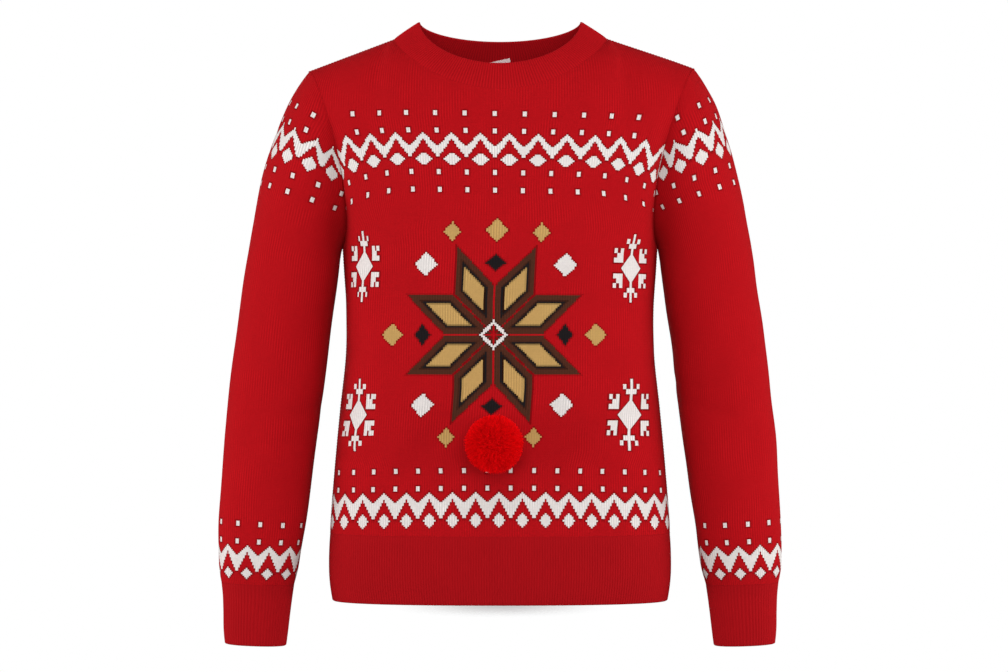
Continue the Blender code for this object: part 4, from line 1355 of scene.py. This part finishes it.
def one_strand(tree, given):
    """A strand that stands up from its root, bends over and thins."""
    length = (given["Reach"] - given["Core"]) * MM
    middle = add(tree, "ShaderNodeCombineXYZ", {"Z": length * STRAND["bends"]})
    over, high = length * given["Lean"] * STRAND["over"], length * STRAND["high"]
    end = add(tree, "ShaderNodeCombineXYZ", {"X": over, "Z": high})
    inputs = {"Resolution": 3, "Start": (0.0, 0.0, -MM)}
    inputs |= {"Middle": middle.outputs[0], "End": end.outputs[0]}
    line = add(tree, "GeometryNodeCurveQuadraticBezier", inputs)
    inputs = {"Resolution": 3, "Radius": given["Strand Radius"] * MM}
    ring = add(tree, "GeometryNodeCurvePrimitiveCircle", inputs, mode="RADIUS")
    along = add(tree, "GeometryNodeSplineParameter")
    thin = 1.0 - STRAND["thinner"] * Number(tree, along.outputs["Factor"])
    shaped = add(tree, "GeometryNodeSetCurveRadius", {"Curve": line.outputs["Curve"], "Radius": thin})
    inputs = {"Curve": shaped.outputs["Curve"], "Profile Curve": ring.outputs["Curve"], "Fill Caps": True}
    return add(tree, "GeometryNodeCurveToMesh", inputs).outputs["Mesh"]


def random_value(tree, kind, seed, low):
    """A random number from low to 1, or a vector from low to its opposite."""
    high = 1.0 if kind == "FLOAT" else tuple(-part for part in low)
    node = add(tree, "FunctionNodeRandomValue", {"Seed": seed}, data_type=kind)
    for name, value in (("Min", low), ("Max", high)):
        slot = next(socket for socket in node.inputs if socket.name == name and socket.enabled)
        slot.default_value = value
    return next(socket for socket in node.outputs if socket.enabled)


def finish_tree(tree, geometry, material, leave):
    """Ends a tree: real meshes, smooth, with their material."""
    real = add(tree, "GeometryNodeRealizeInstances", {"Geometry": geometry})
    smooth_faces = add(tree, "GeometryNodeSetShadeSmooth", {"Geometry": real.outputs["Geometry"]})
    inputs = {"Geometry": smooth_faces.outputs["Geometry"], "Material": material}
    shown = add(tree, "GeometryNodeSetMaterial", inputs)
    fill(tree, leave, {"Geometry": shown.outputs["Geometry"]})


def stitch_tree():
    """Small rounded stitches set along a curve."""
    inputs = {"Geometry": None, **SEAM_STITCH, "Material": None}
    tree, given, leave = new_group("seam_stitches", "GeometryNodeTree", inputs, ("Geometry",))
    inputs = {"Curve": given["Geometry"], "Length": given["Pitch"] * MM}
    points = add(tree, "GeometryNodeCurveToPoints", inputs, mode="LENGTH")
    bead = add(tree, "GeometryNodeMeshUVSphere", {"Segments": 6, "Rings": 4, "Radius": 1.0})
    thick = given["Thick"] * MM
    size = add(tree, "ShaderNodeCombineXYZ", {"X": thick, "Y": thick, "Z": given["Long"] * MM})
    inputs = {"Points": points.outputs["Points"], "Instance": bead.outputs["Mesh"]}
    inputs |= {"Rotation": points.outputs["Rotation"], "Scale": size.outputs[0]}
    beads = add(tree, "GeometryNodeInstanceOnPoints", inputs)
    finish_tree(tree, beads.outputs["Instances"], given["Material"], leave)
    return tree


def grown(holder, tree, values, name):
    """The mesh that a tree makes on an object, as a new plain object. The holder goes."""
    modifier = holder.modifiers.new("rule", "NODES")
    modifier.node_group = tree
    for socket in tree.interface.items_tree:
        if socket.item_type == "SOCKET" and socket.in_out == "INPUT" and socket.name in values:
            modifier[socket.identifier] = values[socket.name]
    holder.update_tag()
    bpy.context.view_layer.update()
    graph = bpy.context.evaluated_depsgraph_get()
    mesh = bpy.data.meshes.new_from_object(holder.evaluated_get(graph))
    mesh.name = name
    bpy.data.objects.remove(holder)
    return placed(name, mesh)


def make_pompom(material):
    holder = placed("pompom_rule", bpy.data.meshes.new("pompom_rule"))
    made = grown(holder, fibre_tree(), FIBRES | {"Material": material}, "pompom_fibres")
    seat = front_y(POMPOM["x"], POMPOM["z"])
    centre = np.array([POMPOM["x"], seat - POMPOM["seat"], POMPOM["z"]]) * MM
    made.data.transform(Matrix.Translation(centre))
    return made


def seam_lines(outer, normals):
    """The seams that stitches follow: points along each, on the outside of the cloth."""
    outer = {side: outer[side] - normals[side] * SEAM_DIP for side in (FRONT, BACK)}
    armhole = around_armhole(outer)
    armhole = np.concatenate([armhole, armhole[:1]])
    front, (right, left) = outer[FRONT], SHOULDERS
    return {
        "armhole_left_stitches": armhole,
        "armhole_right_stitches": armhole * MIRROR,
        "shoulder_left_stitches": front[-1, left],
        "shoulder_right_stitches": front[-1, right],
        "side_left_stitches": front[SIDE, COLUMNS],
        "side_right_stitches": front[SIDE, 0],
    }


def make_stitches(outer, normals, material):
    tree = stitch_tree()
    made = []
    for name, points in seam_lines(outer, normals).items():
        points = settled(points) * MM
        curve = bpy.data.curves.new(name, "CURVE")
        curve.dimensions = "3D"
        spline = curve.splines.new("POLY")
        spline.points.add(len(points) - 1)
        spline.points.foreach_set("co", np.concatenate([points, np.ones((len(points), 1))], axis=1).ravel())
        holder = placed(name + "_rule", curve)
        made.append(grown(holder, tree, SEAM_STITCH | {"Material": material}, name))
    return made


# ---------------------------------------------------------------- stage

# The camera stands level in front of the middle of the garment.
CAMERA = {"x": 0.0043, "away": 3.0, "z": -0.320, "sees": 1.0886, "sensor": 36.0}
# The floor is a round sheet that is clear apart from a soft patch behind the garment, a painted shadow: its
# middle, where it is fullest and where it ends, how much it covers, and its width as a share of its depth.
FLOOR = {"z": -0.660, "radius": 2.6, "sides": 96}
FLOOR |= {"y": 0.5, "dark": 0.0, "clear": 0.155, "share": 0.7, "wide": 0.95}
FLOOR_PAPER = {"Base Color": (0.97, 0.97, 0.97, 1), "Roughness": 0.9, "Specular IOR Level": 0.0}
# The world's light on the garment, and how much more of it the camera sees.
WORLD = {"light": 0.18, "more": 0.82}
LIGHTS = (
    # name, place, size, power
    ("left", (-2.5, -0.75, -0.45), 2.0, 53),
    ("right", (2.5, -0.72, -0.45), 2.0, 56),
    ("front", (0.1, -2.95, 0.4), 2.4, 52),
    ("behind", (-0.6, 2.9, 0.3), 2.4, 26),
    ("top", (0.0, -1.5, 1.7), 1.0, 10),
)


def make_floor():
    mesh = bpy.data.meshes.new("floor")
    shape = bmesh.new()
    bmesh.ops.create_circle(shape, cap_ends=True, segments=FLOOR["sides"], radius=FLOOR["radius"])
    bmesh.ops.translate(shape, verts=shape.verts, vec=(0, 0, FLOOR["z"]))
    shape.to_mesh(mesh)
    shape.free()
    material, tree, shader = new_material("floor_paper", FLOOR_PAPER)
    x, y, _ = split(tree, add(tree, "ShaderNodeTexCoord").outputs["Object"])
    away = ((x / FLOOR["wide"]) ** 2.0 + (y - FLOOR["y"]) ** 2.0) ** 0.5
    # Painted shadow: the sheet shows only in this soft patch behind the garment.
    put(tree, shader.inputs["Alpha"], FLOOR["share"] * away.between(FLOOR["clear"], FLOOR["dark"]))
    mesh.materials.append(material)
    placed("floor", mesh)


def make_light(name, place, size, power):
    data = bpy.data.lights.new(name, "AREA")
    data.shape = "DISK"
    data.size = size
    data.energy = power
    light = placed(name, data)
    light.location = place
    towards = Vector((0, 0, CAMERA["z"])) - Vector(place)
    light.rotation_euler = towards.to_track_quat("-Z", "Y").to_euler()


def make_studio():
    scene = bpy.context.scene
    world = bpy.data.worlds.new("studio")
    world.use_nodes = True
    tree = world.node_tree
    seen = Number(tree, add(tree, "ShaderNodeLightPath").outputs["Is Camera Ray"])
    strength = WORLD["light"] + WORLD["more"] * seen
    fill(tree, tree.nodes["Background"], {"Color": (1, 1, 1, 1), "Strength": strength})
    scene.world = world
    scene.view_settings.view_transform = "Standard"
    for light in LIGHTS:
        make_light(*light)
    data = bpy.data.cameras.new("camera")
    data.sensor_width = CAMERA["sensor"]
    data.lens = CAMERA["sensor"] * CAMERA["away"] / CAMERA["sees"]
    camera = placed("camera", data)
    camera.location = (CAMERA["x"], -CAMERA["away"], CAMERA["z"])
    camera.rotation_euler = (math.pi / 2, 0, 0)
    scene.camera = camera


# ---------------------------------------------------------------- what each piece is

# Each piece's finish and its cut before it was sewn: width and length in metres, and the share of that
# rectangle that it fills.
CUTS = {
    # node: slot, width, length, share
    "front_panel": ("knit", 0.500, 0.510, 0.84),
    "back_panel": ("knit", 0.490, 0.520, 0.84),
    "sleeve_left": ("knit", 0.330, 0.500, 0.84),
    "sleeve_right": ("knit", 0.330, 0.500, 0.84),
    "neck_rib": ("rib", 0.560, 0.032, 1.0),
    "hem_rib_front": ("rib", 0.430, 0.073, 1.0),
    "hem_rib_back": ("rib", 0.430, 0.073, 1.0),
    "cuff_left": ("rib", 0.200, 0.066, 1.0),
    "cuff_right": ("rib", 0.200, 0.066, 1.0),
    "neck_label": ("label_tape", 0.030, 0.040, 1.0),
}


def declare(piece, node=None):
    """Attaches a piece to the root, and hides the part that it stands for. One with no node is sewing that
    lies on the cloth.
    """
    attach(piece, "root")
    if node:
        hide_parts(node)


def main():
    groups = {
        "knit": knit_group(),
        "band": band_group(),
        "snowflake": snowflake_group(),
        "star": star_group(),
        "fuzz": fuzz_group(),
    }
    materials = {
        "front_panel": knit_material("front_knit", groups, front_motifs),
        "back_panel": knit_material("back_knit", groups, plain_bands("chest", "hem")),
        "sleeve_left": knit_material("left_sleeve_knit", groups, plain_bands("left_cap", "cuff")),
        "sleeve_right": knit_material("right_sleeve_knit", groups, plain_bands("right_cap", "cuff")),
        "rib": rib_material("ribbing", groups, RIB_RED, RIB_PAINTED_SHADE),
        "collar": rib_material("collar_ribbing", groups, COLLAR_RED, COLLAR_PAINTED_SHADE),
        "pompom": plain_material("pompom_yarn", groups, POMPOM_RED, 0.16, "lot"),
        "label": plain_material("label_tape", groups, LABEL_WHITE_AND_BOUNCE, 0.02),
        "stitch": plain_material("linking_yarn", groups, RIB_RED, 0.04),
    }
    outer = {side: body_grid(side) for side in (FRONT, BACK)}
    normals = {side: grid_normals(outer[side], False, np.array([0, side, 0])) for side in (FRONT, BACK)}
    for side in (FRONT, BACK):
        normals[side][0, :, 2] = 0
    sleeve = sleeve_grid(around_armhole(outer))
    sleeve_normals = grid_normals(sleeve, True, sleeve - sleeve.mean(axis=1, keepdims=True))
    share_seams(outer, normals, sleeve_normals)
    make_studio()
    make_floor()
    collar_lining = make_collar(outer, normals, materials["collar"])
    back_lining = make_panels(outer, normals, materials)
    make_sleeves(sleeve, sleeve_normals, materials)
    make_cuffs(materials["rib"])
    make_hem(materials["rib"])
    make_label(back_lining, collar_lining, materials["label"])
    declare(make_pompom(materials["pompom"]), "pompom")
    for piece in make_stitches(outer, normals, materials["stitch"]):
        declare(piece)
    for node, (slot, width, length, share) in CUTS.items():
        piece = bpy.data.objects[node + "_cloth"]
        declare(piece, node)


main()
